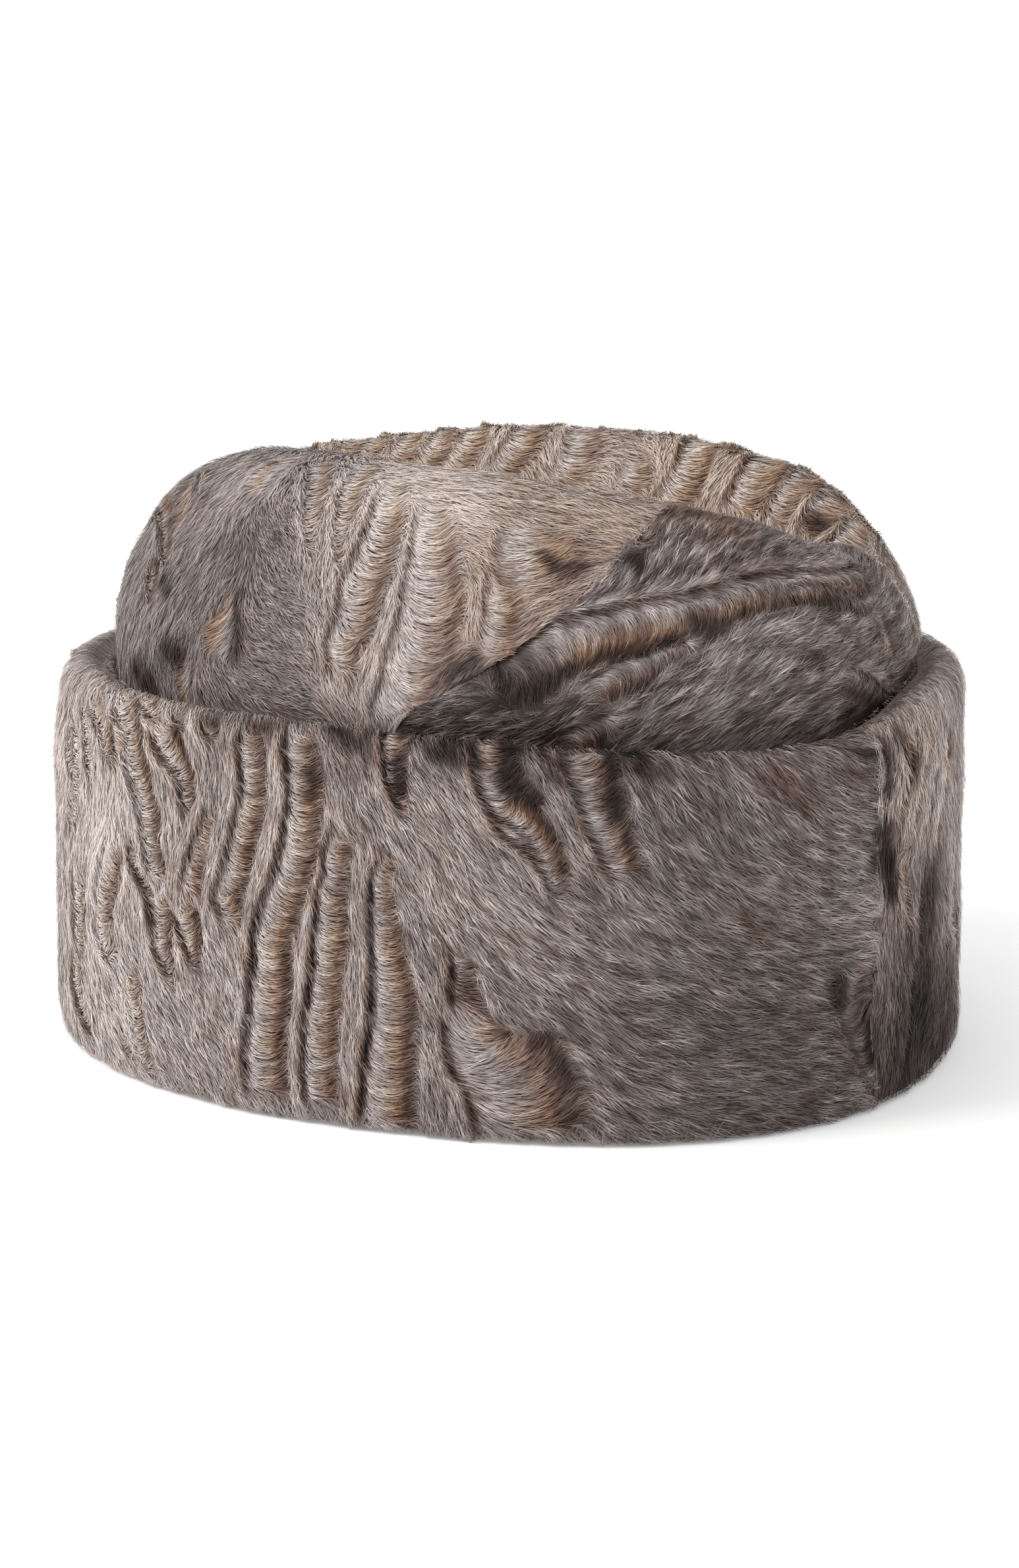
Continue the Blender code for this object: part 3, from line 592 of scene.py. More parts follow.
def start_pelt(name, spacing):
    """Grid of a pelt's outer surface: rows run between its seams, columns up its sections."""
    surface = cuff_surface if name in (CUFF_LEFT, CUFF_RIGHT) else crown_surface
    pelt = SimpleNamespace(name=name, surface=surface, **dict(zip(PELT_COLUMNS, PELTS[name])))
    places = even_places(surface, pelt.middle, pelt.first, pelt.last, spacing)
    start, end = seams_of(name, places)
    widest = np.argmax(np.linalg.norm(surface(end, places) - surface(start, places), axis=-1))
    sweep = surface(np.linspace(start[widest], end[widest], 400), np.full(400, places[widest]))
    length = np.sum(np.linalg.norm(np.diff(sweep, axis=0), axis=1))
    shares = np.linspace(0.0, 1.0, int(np.ceil(length / spacing)) + 1)
    turn = start[None, :] + (end - start)[None, :] * shares[:, None]
    place = np.broadcast_to(places[None, :], turn.shape).copy()
    pelt.turn, pelt.place, pelt.points = turn, place, surface(turn, place)
    step = 0.02
    pelt.round_it = unit(surface(turn + 0.5, place) - surface(turn - 0.5, place))
    low = np.clip(place - step, 0.0, pelt.last - 2 * step)
    pelt.up_it = unit(surface(turn, low + 2 * step) - surface(turn, low))
    outwards = -1.0 if surface is cuff_surface else 1.0
    pelt.normal = unit(outwards * np.cross(pelt.round_it, pelt.up_it))
    pelt.relief = np.zeros(turn.shape)
    pelt.pixels = on_picture(pelt.points)
    seen = dot(pelt.normal, camera_frame()[0] - pelt.points) > 0
    pelt.pixels[~seen] = HIDDEN
    return pelt


def spot_of_pixel(pelt, pixel):
    """Grid place of the pelt's point that shows nearest to a pixel of the photograph."""
    gap = np.sum((pelt.pixels - np.array(pixel, dtype=float)) ** 2, axis=-1)
    return np.array(np.unravel_index(np.argmin(gap), gap.shape), dtype=float)


def spots_of_trail(pelt, trail):
    """Grid places of a trail of picture places x, y, x, y and so on."""
    return [spot_of_pixel(pelt, pixel) for pixel in zip(trail[::2], trail[1::2])]


def spot_of_section(pelt, turn, place):
    """Grid place of the pelt's point nearest to a turn and a section place."""
    row = np.argmin(np.abs(pelt.place[0] - place))
    return np.array([np.argmin(np.abs(pelt.turn[:, row] - turn)), row], dtype=float)


def read_grid(grid, spots):
    """Value of a grid at fractional places, straight between its points, and its two slopes."""
    last = np.array(grid.shape[:2]) - 1
    held = np.clip(spots, 0.0, last - 1e-4)
    cell = held.astype(int)
    share = (held - cell)[:, :, None]
    near, far = grid[cell[:, 0], cell[:, 1]], grid[cell[:, 0] + 1, cell[:, 1]]
    up, over = grid[cell[:, 0], cell[:, 1] + 1], grid[cell[:, 0] + 1, cell[:, 1] + 1]
    low = near + (far - near) * share[:, 0]
    high = up + (over - up) * share[:, 0]
    across = (far - near) * (1 - share[:, 1]) + (over - up) * share[:, 1]
    return low + (high - low) * share[:, 1], across, high - low, spots - held


def walk(places, direction, round_it, up_it, distance):
    """Grid places a given distance on along a direction, from the grid's two slopes there."""
    first, second, third = dot(round_it, round_it), dot(round_it, up_it), dot(up_it, up_it)
    along_round, along_up = dot(direction, round_it), dot(direction, up_it)
    common = np.maximum(first * third - second ** 2, 1e-16)
    move = np.stack([(along_round * third - along_up * second) / common,
                     (along_up * first - along_round * second) / common], axis=-1) * distance[:, None]
    size = np.linalg.norm(move, axis=-1, keepdims=True)
    return places + move * np.minimum(1.0, 8.0 / np.maximum(size, 1e-9))


def settle_flow(pelt):
    """Spread the flow table over the pelt: each row counts by the inverse cube of its distance."""
    place, _, right, up = camera_frame()
    spots, ways, values = [], [], []
    for x, y, angle, shade, warm, length in FLOWS[pelt.name]:
        spot = tuple(spot_of_pixel(pelt, (x, y)).astype(int))
        wanted = np.cos(np.radians(angle)) * right - np.sin(np.radians(angle)) * up
        sight = pelt.points[spot] - place
        tangent = unit(wanted - sight * dot(wanted, pelt.normal[spot]) / dot(sight, pelt.normal[spot]))
        spots.append(spot)
        ways.append((dot(tangent, pelt.round_it[spot]), dot(tangent, pelt.up_it[spot])))
        values.append((shade, warm, length))
    down = 1.0 if pelt.surface is cuff_surface else -1.0
    for turn, section, angle, shade, warm, length in BACK_FLOWS[pelt.name]:
        spots.append(tuple(spot_of_section(pelt, turn, section).astype(int)))
        ways.append((np.cos(np.radians(angle)), down * np.sin(np.radians(angle))))
        values.append((shade, warm, length))
    centres = np.array([pelt.points[spot] for spot in spots])
    ways, values = unit(np.array(ways)), np.array(values)
    gap = np.sum((pelt.points[:, :, None] - centres) ** 2, axis=-1) + (5 * MM) ** 2
    weight = gap ** -1.5
    weight /= weight.sum(axis=-1, keepdims=True)
    way = unit(weight @ ways)
    wander = np.radians(11.0) * value_noise(pelt.points, 5.5 * MM, 3)
    wander += np.radians(9.0) * value_noise(pelt.points, 2.6 * MM, 4)
    cosine, sine = np.cos(wander), np.sin(wander)
    way = np.stack([way[..., 0] * cosine - way[..., 1] * sine, way[..., 0] * sine + way[..., 1] * cosine],
                   axis=-1)
    pelt.way = unit(pelt.round_it * way[..., :1] + pelt.up_it * way[..., 1:])
    spread = weight @ values
    pelt.shade, pelt.warm, pelt.length = spread[..., 0], spread[..., 1], spread[..., 2] * MM
    for field in ("curl", "dark", "fine", "stripe", "thick"):
        setattr(pelt, field, np.zeros(pelt.shade.shape))


def nearest_on(pelt, knots, reach):
    """Grid points near a smooth line through grid places, and where on that line each belongs."""
    spans = np.linspace(0.0, len(knots) - 1.0, 12 * len(knots))
    line = np.stack([along(np.array(knots)[:, axis], spans) for axis in (0, 1)], axis=-1)
    centre = read_grid(pelt.points, line)[0]
    normal = unit(read_grid(pelt.normal, line)[0])
    flat = pelt.points.reshape(-1, 3)
    near = np.flatnonzero(np.all((flat > centre.min(axis=0) - reach) & (flat < centre.max(axis=0) + reach),
                                 axis=1))
    gap = flat[near][:, None] - centre[None]
    best = np.argmin(np.sum(gap ** 2, axis=-1), axis=1)
    return near, centre, normal, best, gap[np.arange(len(near)), best]


def press_curl(pelt, knots, start, middle, last, side, smile, rise, brown, edge, end, lean=0.0):
    """Press one curl into the pelt's relief, hair direction and colour.

    Across its band, from 0 at the trail to 1, the skin drops sharply at 0, swells and dips at its end.  The
    hairs swing from one side of straight across to the other, so that each follows a sagging curve, and the
    colour goes from a black edge, painted shadow in the furrow, through grey with a painted highlight to
    brown, and black again, painted shade where the band tucks under the next edge.
    """
    reach = max(start, middle, last) * MM * 1.3 + 5 * MM
    near, centre, normal, best, offset = nearest_on(pelt, knots, reach)
    ahead = unit(np.gradient(centre, axis=0))
    across = side * np.cross(normal, ahead)
    aside = dot(offset, across[best])
    past = dot(offset, ahead[best])
    length = np.concatenate([[0.0], np.cumsum(np.linalg.norm(np.diff(centre, axis=0), axis=1))])
    inner = np.minimum(length[best], length[-1] - length[best])
    ends = (best == 0) | (best == len(centre) - 1)
    inner = np.where(ends, -np.abs(past), inner)
    own = pelt.normal.reshape(-1, 3)[near]
    fade = smooth(-2.5 * MM, 4.0 * MM, inner) * (dot(own, normal[best]) > 0.25)
    width = np.interp(length[best] / length[-1], (0.0, 0.5, 1.0), (start, middle, last)) * MM
    spots = pelt.points.reshape(-1, 3)[near]
    width = width * (1.0 + 0.10 * value_noise(centre[best], 8 * MM, 21))
    share = aside / width
    held = np.clip(share, 0.0, 1.0)
    band = smooth(-0.04, 0.05, share) * (1.0 - smooth(0.94, 1.2, share)) * fade
    lip = np.exp(-(aside / LIP_WIDTH) ** 2) * (share < 0) * fade

    way = pelt.way.reshape(-1, 3)
    bend = np.radians(smile)
    swing = bend * (1.0 - 2.0 * held)
    slant = swing + np.radians(lean)
    lying = np.cos(slant)[:, None] * across[best] + np.sin(slant)[:, None] * ahead[best]
    beside = unit(ahead[best] * np.sign(dot(way[near], ahead[best]))[:, None] + 0.2 * across[best])
    mixed = way[near] * (1.0 - 0.6 * lip[:, None]) + beside * 0.6 * lip[:, None]
    mixed = mixed * (1.0 - band[:, None]) + lying * band[:, None]
    way[near] = unit(mixed - own * dot(mixed, own)[:, None])

    step_down = (share >= 0) * (1.0 - smooth(0.0, 0.35, share))
    valley = smooth(0.45, 0.92, share) * (1.0 - smooth(0.92, 1.5, share))
    relief = pelt.relief.reshape(-1)
    relief[near] += rise * MM * (0.7 * lip - fade * (0.95 * step_down + 0.9 * valley))

    mottle = 1.0 + 0.5 * value_noise(spots, 3.2 * MM, 22)
    tan = smooth(0.35, 0.75, share) * (1.0 - smooth(1.05, 1.3, share)) + 0.6 * np.exp(-(share / 0.12) ** 2)
    fringe = np.exp(-(aside / FRINGE_WIDTH) ** 2) * edge
    warm = pelt.warm.reshape(-1)
    tint = np.clip(brown * tan * mottle, 0.0, 1.0)
    warm[near] += (tint - warm[near] * 0.6) * band + 0.35 * brown * fringe * fade * (share < 0)
    # Painted highlight: a light line along the lip, where the fur swells before the edge, and a light stripe
    # across the band's middle, where its curl rises towards the light
    painted_highlight = 0.09 * np.exp(-(aside / HIGHLIGHT_WIDTH) ** 2) * (share < 0)
    painted_highlight += 0.13 * np.exp(-((share - 0.38) / 0.26) ** 2)
    shade = pelt.shade.reshape(-1)
    shade[near] += painted_highlight * fade
    # Painted shadow: a black line in the furrow behind the edge, under its overhang, and painted shade on
    # the band's far side, where it tucks under the next edge
    black = 1.1 * edge * np.exp(-((aside - SHADOW_LINE_PLACE) / SHADOW_LINE_WIDTH) ** 2)
    black += 0.9 * end * smooth(0.72, 0.96, share) * (1.0 - smooth(1.0, 1.13, share))
    darkness = pelt.dark.reshape(-1)
    darkness[near] = np.maximum(darkness[near], black * mottle * fade)
    stripes = band * smooth(0.15, 0.65, share) * min(rise, 1.0)
    sag = width / (2.0 * bend) * (np.log(np.cos(swing)) - np.log(np.cos(bend)))
    sag += held * width * np.tan(np.radians(lean))
    taken = stripes > pelt.fine.reshape(-1)[near]
    pelt.stripe.reshape(-1)[near[taken]] = (length[best] + past - sag)[taken]
    pelt.fine.reshape(-1)[near[taken]] = stripes[taken]
    curl = pelt.curl.reshape(-1)
    curl[near] = np.maximum(curl[near], band)
    thick = pelt.thick.reshape(-1)
    thick[near] = np.maximum(thick[near], fade * np.exp(-((aside + 0.4 * MM) / FRINGE_WIDTH) ** 2))


def press_dark_patch_and_shade(pelt, knots, radius, dark, warm):
    """Darken the fur round a line, less with distance as a bell curve of the given radius.  The lines mark
    real dark patches of the fur and painted shade along the rim, the seams and the folds.
    """
    near, _, _, _, offset = nearest_on(pelt, knots, 2.5 * radius * MM)
    flat = pelt.points.reshape(-1, 3)[near]
    fall = np.exp(-np.sum(offset ** 2, axis=-1) / (radius * MM) ** 2)
    fall *= np.clip(1.0 + 0.9 * value_noise(flat, 2.4 * MM, 23), 0.0, 1.6)
    darkness = pelt.dark.reshape(-1)
    darkness[near] = np.maximum(darkness[near], dark * np.minimum(1.5 * fall, 1.15))
    tint = pelt.warm.reshape(-1)
    tint[near] += (warm - tint[near]) * np.clip(fall, 0.0, 1.0)


def draw_streaks(pelt, seed):
    """Streaks of the fur: fine and coarse noise on the grid, averaged to and fro along the hair."""
    rows, columns = pelt.turn.shape
    fine = np.random.default_rng(seed).standard_normal((rows, columns))
    coarse = value_noise(pelt.points, 1.7 * MM, 51)
    fields = np.concatenate([pelt.points, pelt.way, fine[..., None], coarse[..., None]], axis=-1)
    start = np.stack(np.indices((rows, columns)), axis=-1).reshape(-1, 2).astype(float)
    total = np.zeros((len(start), 2))
    stride = np.full(len(start), STREAK_REACH / STREAK_STEPS)
    for sense in (1.0, -1.0):
        spots = start
        for _ in range(STREAK_STEPS):
            reading, round_it, up_it, _ = read_grid(fields, spots)
            total += reading[:, 6:8]
            spots = walk(spots, sense * reading[:, 3:6], round_it[:, :3], up_it[:, :3], stride)
    total /= total.std(axis=0)
    pelt.streak = np.clip((total[:, 0] + 0.2 * total[:, 1]) / 2.05, -1.0, 1.0).reshape(rows, columns)


def grow_curls(pelt, from_turn, to_turn, top, bottom, count, seed):
    """Scatter upright curls over a side that the photograph hides, each with a slight sway."""
    chance = np.random.default_rng(seed)
    sections = bottom - top
    for number in range(count):
        turn = from_turn + (to_turn - from_turn) * (number + 0.5 * chance.random() + 0.25) / count
        length = sections * chance.uniform(0.35, 0.85)
        start = top + (sections - length) * chance.random()
        lean = chance.normal(0.0, 2.5)
        sway = chance.normal(0.0, 1.6)
        knots = [spot_of_section(pelt, turn + lean * share + sway * np.sin(2 * np.pi * share),
                                 start + length * share) for share in np.linspace(0.0, 1.0, 5)]
        if pelt.surface is crown_surface:
            knots = knots[::-1]
        side = 1 if chance.random() < 0.85 else -1
        widths = [chance.uniform(*limits) for limits in ((5.0, 8.0), (6.0, 10.0), (3.0, 9.0))]
        looks = [chance.uniform(*limits) for limits in ((34, 46), (0.8, 1.2), (0.5, 0.9), (0.5, 0.9),
                                                        (0.6, 0.9))]
        press_curl(pelt, knots, *widths, side, *looks)


def make_pelt(name, spacing, depth):
    """One pelt with its flow, curls and skin worked out.

    The skin lies at a depth below the pile's top, plus the curls' relief and two sizes of noise.
    On the crown all of it fades out towards the crease's floor, where the pelts meet.
    """
    pelt = start_pelt(name, spacing)
    settle_flow(pelt)
    for row in GROWN_CURLS[name]:
        grow_curls(pelt, *row)
    for trail, *sizes in CURLS[name]:
        press_curl(pelt, spots_of_trail(pelt, trail), *sizes)
    for trail, *sizes in DARK_PATCHES_AND_SHADE[name]:
        press_dark_patch_and_shade(pelt, spots_of_trail(pelt, trail), *sizes)
    draw_streaks(pelt, pelt.seed + 50)
    rolling = 0.45 * MM * value_noise(pelt.points, 9 * MM, 31)
    rolling += 0.25 * MM * value_noise(pelt.points, 4 * MM, 32)
    pelt.closing = 1.0 if pelt.surface is cuff_surface else 1.0 - smooth(8.9, 9.95, pelt.place)
    pelt.skin = pelt.points + pelt.normal * ((pelt.relief + rolling - depth) * pelt.closing)[..., None]
    pelt.skin[..., 2] = np.maximum(pelt.skin[..., 2], SKIN_CLEARANCE)
    return pelt


def link_mesh(name, points, loops, sizes, materials):
    """New object from arrays: points, corner indices and the number of corners of each face."""
    mesh = bpy.data.meshes.new(name)
    mesh.vertices.add(len(points))
    mesh.vertices.foreach_set("co", points.astype(np.float32).ravel())
    mesh.loops.add(len(loops))
    mesh.loops.foreach_set("vertex_index", loops.astype(np.int32))
    mesh.polygons.add(len(sizes))
    starts = np.concatenate([[0], np.cumsum(sizes)[:-1]])
    mesh.polygons.foreach_set("loop_start", starts.astype(np.int32))
    mesh.polygons.foreach_set("loop_total", np.asarray(sizes, dtype=np.int32))
    for material in materials:
        mesh.materials.append(material)
    mesh.update(calc_edges=True)
    mesh.validate()
    piece = bpy.data.objects.new(name, mesh)
    bpy.context.scene.collection.objects.link(piece)
    return piece


def nearest_lock(spots, size, chance):
    """For each grid place, the way to the centre of its lock, and the lock's own tone.

    Lock centres are one to each square of the given size, set anywhere in it.
    """
    squares = np.floor(spots / size).astype(int)
    table = chance.random((squares[:, 0].max() + 3, squares[:, 1].max() + 3, 3))
    nearest = np.full(len(spots), np.inf)
    way, tone = np.zeros_like(spots), np.zeros(len(spots))
    for shift in np.ndindex(3, 3):
        square = squares + np.array(shift)
        entry = table[square[:, 0], square[:, 1]]
        gap = (square - 1 + entry[:, :2]) * size - spots
        distance = np.sum(gap ** 2, axis=-1)
        closer = distance < nearest
        nearest = np.where(closer, distance, nearest)
        way[closer] = gap[closer]
        tone[closer] = entry[closer, 2]
    return way, np.sqrt(nearest) / size, tone


# What a grid of hair fields holds at each point
SKIN, NORMAL, WAY = slice(0, 3), slice(3, 6), slice(6, 9)
HAIR_FIELDS = ("shade", "warm", "dark", "curl", "length", "fine", "stripe", "streak")
SHADE, WARM, DARK, CURL, LENGTH, FINE, STRIPE, STREAK = range(9, 17)

# Hairs of one and of two triangles: order of the corners, and how light and how warm each is.  Roots are
# darker and warmer, partly their own colour and partly painted shade at the skin; tips are lighter, a
# painted highlight; one side of the hair is a little darker than the other, a painted shadow along its edge.
HAIR_SHAPES = {
    1: ((0, 1, 2), (0.82, 0.84, 1.04), (0.12, 0.14, -0.08)),
    2: ((0, 2, 1, 1, 2, 3), (0.70, 0.97, 1.0, 1.06), (0.22, -0.012, 0.012, -0.10)),
}


def scatter_roots(pelt, count, chance):
    """Grid places of roots: even over the skin, denser on curls and sparser where little shows."""
    across = np.linalg.norm(np.diff(pelt.skin, axis=0), axis=-1)[:, :-1]
    upward = np.linalg.norm(np.diff(pelt.skin, axis=1), axis=-1)[:-1]
    first, last = CUFF_SHOWN if pelt.surface is cuff_surface else CROWN_SHOWN
    hidden = (pelt.place < first) | (pelt.place > last)
    density = (1.0 + 1.2 * pelt.thick + 0.25 * pelt.curl) * (1.0 - 0.5 * hidden)
    total = np.cumsum((across * upward * density[:-1, :-1]).ravel())
    wanted = (np.arange(count) + chance.random(count)) * total[-1] / count
    cell = np.minimum(np.searchsorted(total, wanted), len(total) - 1)
    return np.stack(np.divmod(cell, across.shape[1]), axis=-1) + chance.random((count, 2))


def lay_hairs(pelt, count, reach, gather, look, chance):
    """Hairs flat on the skin: what is read and where they are at their roots, middles and tips.

    A hair walks half its length along the hair direction at its root and half along the direction
    found there, leans to the middle of its lock and turns a little by chance.
    """
    fields = np.concatenate([pelt.skin, pelt.normal, pelt.way]
                            + [getattr(pelt, field)[..., None] for field in HAIR_FIELDS], axis=-1)
    spots = scatter_roots(pelt, count, chance)
    past = chance.uniform(0.0, OVERHANG, (count, 1))

    def read(spots):
        """Reading, its two slopes and its point, which goes straight on past the pelt's edge."""
        reading, round_it, up_it, over = read_grid(fields, spots)
        round_it, up_it = round_it[:, SKIN], up_it[:, SKIN]
        over = np.clip(over, -past, past)
        return reading, round_it, up_it, reading[:, SKIN] + round_it * over[:, :1] + up_it * over[:, 1:]

    root, round_it, up_it, root_place = read(spots)
    centre, off, lock_tone = nearest_lock(spots, look.lock / look.spacing, chance)
    inward = round_it * centre[:, :1] + up_it * centre[:, 1:]
    inward -= root[:, WAY] * dot(inward, root[:, WAY])[:, None]
    inward *= (gather * (1.0 - 0.5 * root[:, CURL]))[:, None]
    length = root[:, LENGTH] * reach * chance.uniform(0.82, 1.12, count) * (1.0 - 0.12 * root[:, CURL])
    spots = walk(spots, root[:, WAY], round_it, up_it, length / 2)
    middle, round_it, up_it, middle_place = read(spots)
    spots = walk(spots, middle[:, WAY], round_it, up_it, length / 2)
    tip, _, _, tip_place = read(spots)
    turned = length * chance.normal(0.0, look.scatter, count) * (1.0 - 0.6 * middle[:, CURL])
    aside = unit(np.cross(middle[:, NORMAL], middle[:, WAY])) * turned[:, None]
    return SimpleNamespace(root=root, middle=middle, tip=tip, root_place=root_place,
                           middle_place=middle_place + inward * 0.5 + 0.2 * aside,
                           tip_place=tip_place + inward + aside, off=off, lock_tone=lock_tone,
                           wave=value_noise(root_place, 5.0 * MM, 42))


def raise_hairs(hair, height, look, chance):
    """Lift middles and tips off the skin, higher in light strands and streaks, and sink roots."""
    root, middle = hair.root, hair.middle
    hair.stray = chance.random(len(root)) < STRAY_SHARE
    lift = look.pile * height * (1.0 + 0.5 * (hair.lock_tone - 0.5) + 0.25 * hair.wave)
    lift *= chance.uniform(0.65, 1.1, len(root)) * (1.0 - 0.35 * np.clip(root[:, DARK], 0, 1))
    strand = np.stack([middle[:, STRIPE], 0 * lift, 0 * lift], axis=-1)
    hair.stripe = value_noise(strand, look.strand, 43)
    streak = middle[:, STREAK] * (1.0 - 0.6 * middle[:, FINE])
    lift *= 1.0 + 0.3 * hair.stripe * middle[:, FINE] + 0.35 * streak
    tip_lift = lift * np.where(hair.stray, STRAY_LIFT, 1.0)
    hair.middle_place += unit(middle[:, NORMAL]) * (lift * 0.75)[:, None]
    hair.tip_place += unit(hair.tip[:, NORMAL]) * tip_lift[:, None]
    hair.root_place -= unit(root[:, NORMAL]) * ROOT_DEPTH


def cut_hairs(hair, width, triangles, look, chance):
    """Corners of each hair, and what is read at each.

    A hair is broad across its way, at its root or its middle, and rolls a little on its own axis.
    """
    roll = chance.normal(0.0, look.roll, len(hair.root))[:, None]
    hair_way = unit(hair.tip_place - hair.root_place)
    flat_way = unit(np.cross(unit(hair.middle[:, NORMAL]), hair_way))
    flat_way = flat_way * np.cos(roll) + np.cross(hair_way, flat_way) * np.sin(roll)
    half = width * 0.5 * chance.uniform(0.75, 1.25, len(hair.root))
    half = np.where(hair.stray, half * 0.5, half)[:, None]
    if triangles == 2:
        corners = [hair.root_place, hair.middle_place - flat_way * half,
                   hair.middle_place + flat_way * half, hair.tip_place]
        readings = (hair.root, hair.middle, hair.middle, hair.tip)
    else:
        corners = [hair.root_place - flat_way * half, hair.root_place + flat_way * half, hair.tip_place]
        readings = (hair.root, hair.root, hair.tip)
    corners = np.stack(corners, axis=1)
    corners[..., 2] = np.maximum(corners[..., 2], HAIR_CLEARANCE)
    return corners, readings


def shade_hairs(hair, readings, parts, warmer, bright, contrast, look, chance):
    """Tone and warmth of each corner of each hair.

    The tone is the fur's shade there, times the corner's share and factors for the lock, strand, streak and
    fleck that the hair is in, and less where the fur is marked dark.  Painted light rides on several of
    these: highlights on tips, lips and curl crests, and shade in furrows, between locks and along the rim
    and seams.
    """
    middle, count = hair.middle, len(hair.middle)
    plain = 1.0 - middle[:, CURL]
    # A lock's own tone differs at random; its hairs are darker towards its edge: painted shade in the gaps
    # between locks
    level = bright * (1.0 + look.locks * plain * (0.6 * (hair.lock_tone - 0.5) - 0.5 * (hair.off - 0.4)))
    level *= 1.0 + 0.06 * hair.wave + chance.normal(0.0, look.vary, count)
    deep = contrast * 2.6 * (1.0 - np.clip(middle[:, SHADE], 0.0, 0.95))
    level *= np.where(chance.random(count) < look.flecks * plain * np.minimum(deep, 1.3), 0.55, 1.0)
    dull = 0.2 * (chance.random(count) < 0.15)
    level *= 1.0 + middle[:, FINE] * (look.stripes * (hair.stripe - 0.1) - dull)
    tint = 0.15 * hair.wave + chance.normal(0.0, 0.10, count)
    darker = chance.uniform(0.60, 1.25, count)
    tones, warmth = [], []
    for reading, part, more in zip(readings, parts, warmer):
        fleck = reading[:, STREAK] * (1.0 - 0.6 * reading[:, FINE])
        shade = reading[:, SHADE] * (1.0 + look.streaks * deep * (fleck - 0.05))
        # The dark marks hold real dark patches, and also the painted shadow and shade of furrows, rims,
        # seams and folds
        shade *= level * (1.0 - 0.95 * np.clip(reading[:, DARK] * darker, 0.0, 1.0))
        part = 1.0 - (1.0 - part) * np.clip(1.5 - reading[:, SHADE], 0.4, 1.0)
        tones.append(np.clip(shade * part, 0.01, 0.99))
        warmth.append(np.clip(reading[:, WARM] + tint - 0.12 * fleck + more, 0.0, 1.0))
    return np.stack([tones, warmth], axis=-1).transpose(1, 0, 2)


def grow_fur(pelt, coat, seed, look):
    """One coat of fur: each hair is one triangle from its root, or two, bent at its middle."""
    chance = np.random.default_rng(seed)
    name, share, reach, height, broad, bright, gather, triangles = coat
    order, parts, warmer = HAIR_SHAPES[triangles]
    count = int(pelt.hairs * share)
    hair = lay_hairs(pelt, count, reach, gather, look, chance)
    raise_hairs(hair, height, look, chance)
    corners, readings = cut_hairs(hair, look.width * broad, triangles, look, chance)
    colours = shade_hairs(hair, readings, parts, warmer, bright, pelt.contrast, look, chance)
    loops = (np.array(order)[None, :] + len(parts) * np.arange(count)[:, None]).ravel()
    piece_name = pelt.name.replace("pelt", name)
    fur = link_mesh(piece_name, corners.reshape(-1, 3), loops, np.full(triangles * count, 3),
                    [fur_material(piece_name, look)])
    layer = fur.data.uv_layers.new(name="OFBake")
    layer.data.foreach_set("uv", colours.reshape(-1, 2)[loops].astype(np.float32).ravel())
    fur.data.polygons.foreach_set("use_smooth", np.ones(triangles * count, dtype=bool))
    return fur


def lowest_near(field, reach):
    """Lowest value of a grid within a number of rows and columns of each point."""
    for axis in (0, 1):
        places = np.arange(field.shape[axis])
        shifted = [np.take(field, np.clip(places + shift, 0, len(places) - 1), axis=axis)
                   for shift in range(-reach, reach + 1)]
        field = np.min(shifted, axis=0)
    return field


def make_hide(pelt, look):
    """Skin of a pelt: its fur side under the hairs, and its plain inner side, closed round."""
    rows, columns = (np.unique([*range(0, count, HIDE_STEP), count - 1]) for count in pelt.turn.shape)
    pick = np.ix_(rows, columns)
    sunk = pelt.relief - lowest_near(pelt.relief, HIDE_STEP - 1)
    outer = (pelt.skin - pelt.normal * ((sunk + HIDE_DEPTH) * pelt.closing)[..., None])[pick]
    outer[..., 2] = np.maximum(outer[..., 2], HIDE_CLEARANCE)
    # The hide is the fur's shade, less where the fur is marked dark, and darker still under curls and along
    # their edges: partly the undercoat's own colour and partly painted shade deep in the pile
    tone = pelt.shade * (1 - 0.7 * np.clip(pelt.dark, 0, 1))
    tone = np.clip(tone * (0.85 - 0.35 * np.maximum(pelt.fine, pelt.thick)), 0, 1)[pick]
    warm = np.clip(pelt.warm + 0.2, 0, 1)[pick]
    if pelt.surface is cuff_surface:
        sheet, tone, warm = close_cuff(pelt, pick, outer, tone, warm)
        return cuff_hide(pelt, sheet, tone, warm, len(columns), look)
    return crown_hide(pelt, pick, outer, tone, warm, look)


def close_cuff(pelt, pick, outer, tone, warm):
    """Carry the cuff's fur side round its sole, foot and inner face, back to where it starts."""
    turn = pelt.turn[pick][:, :1]
    last, first = pelt.place[0, -1], pelt.place[0, 0] + len(CUFF_SECTION)
    rest = np.array([section for section in CUFF_INSIDE if last + 0.2 < section < first - 0.2])
    place = np.broadcast_to(rest[None, :], (turn.shape[0], len(rest)))
    turns = np.broadcast_to(turn, place.shape)
    extra = cuff_surface(turns, place)
    extra[..., 2] = np.maximum(extra[..., 2], SKIN_CLEARANCE)
    sheet = np.concatenate([outer, extra], axis=1)
    plain = np.full(place.shape, PLAIN_TONE)
    return sheet, np.concatenate([tone, plain], axis=1), np.concatenate([warm, plain], axis=1)


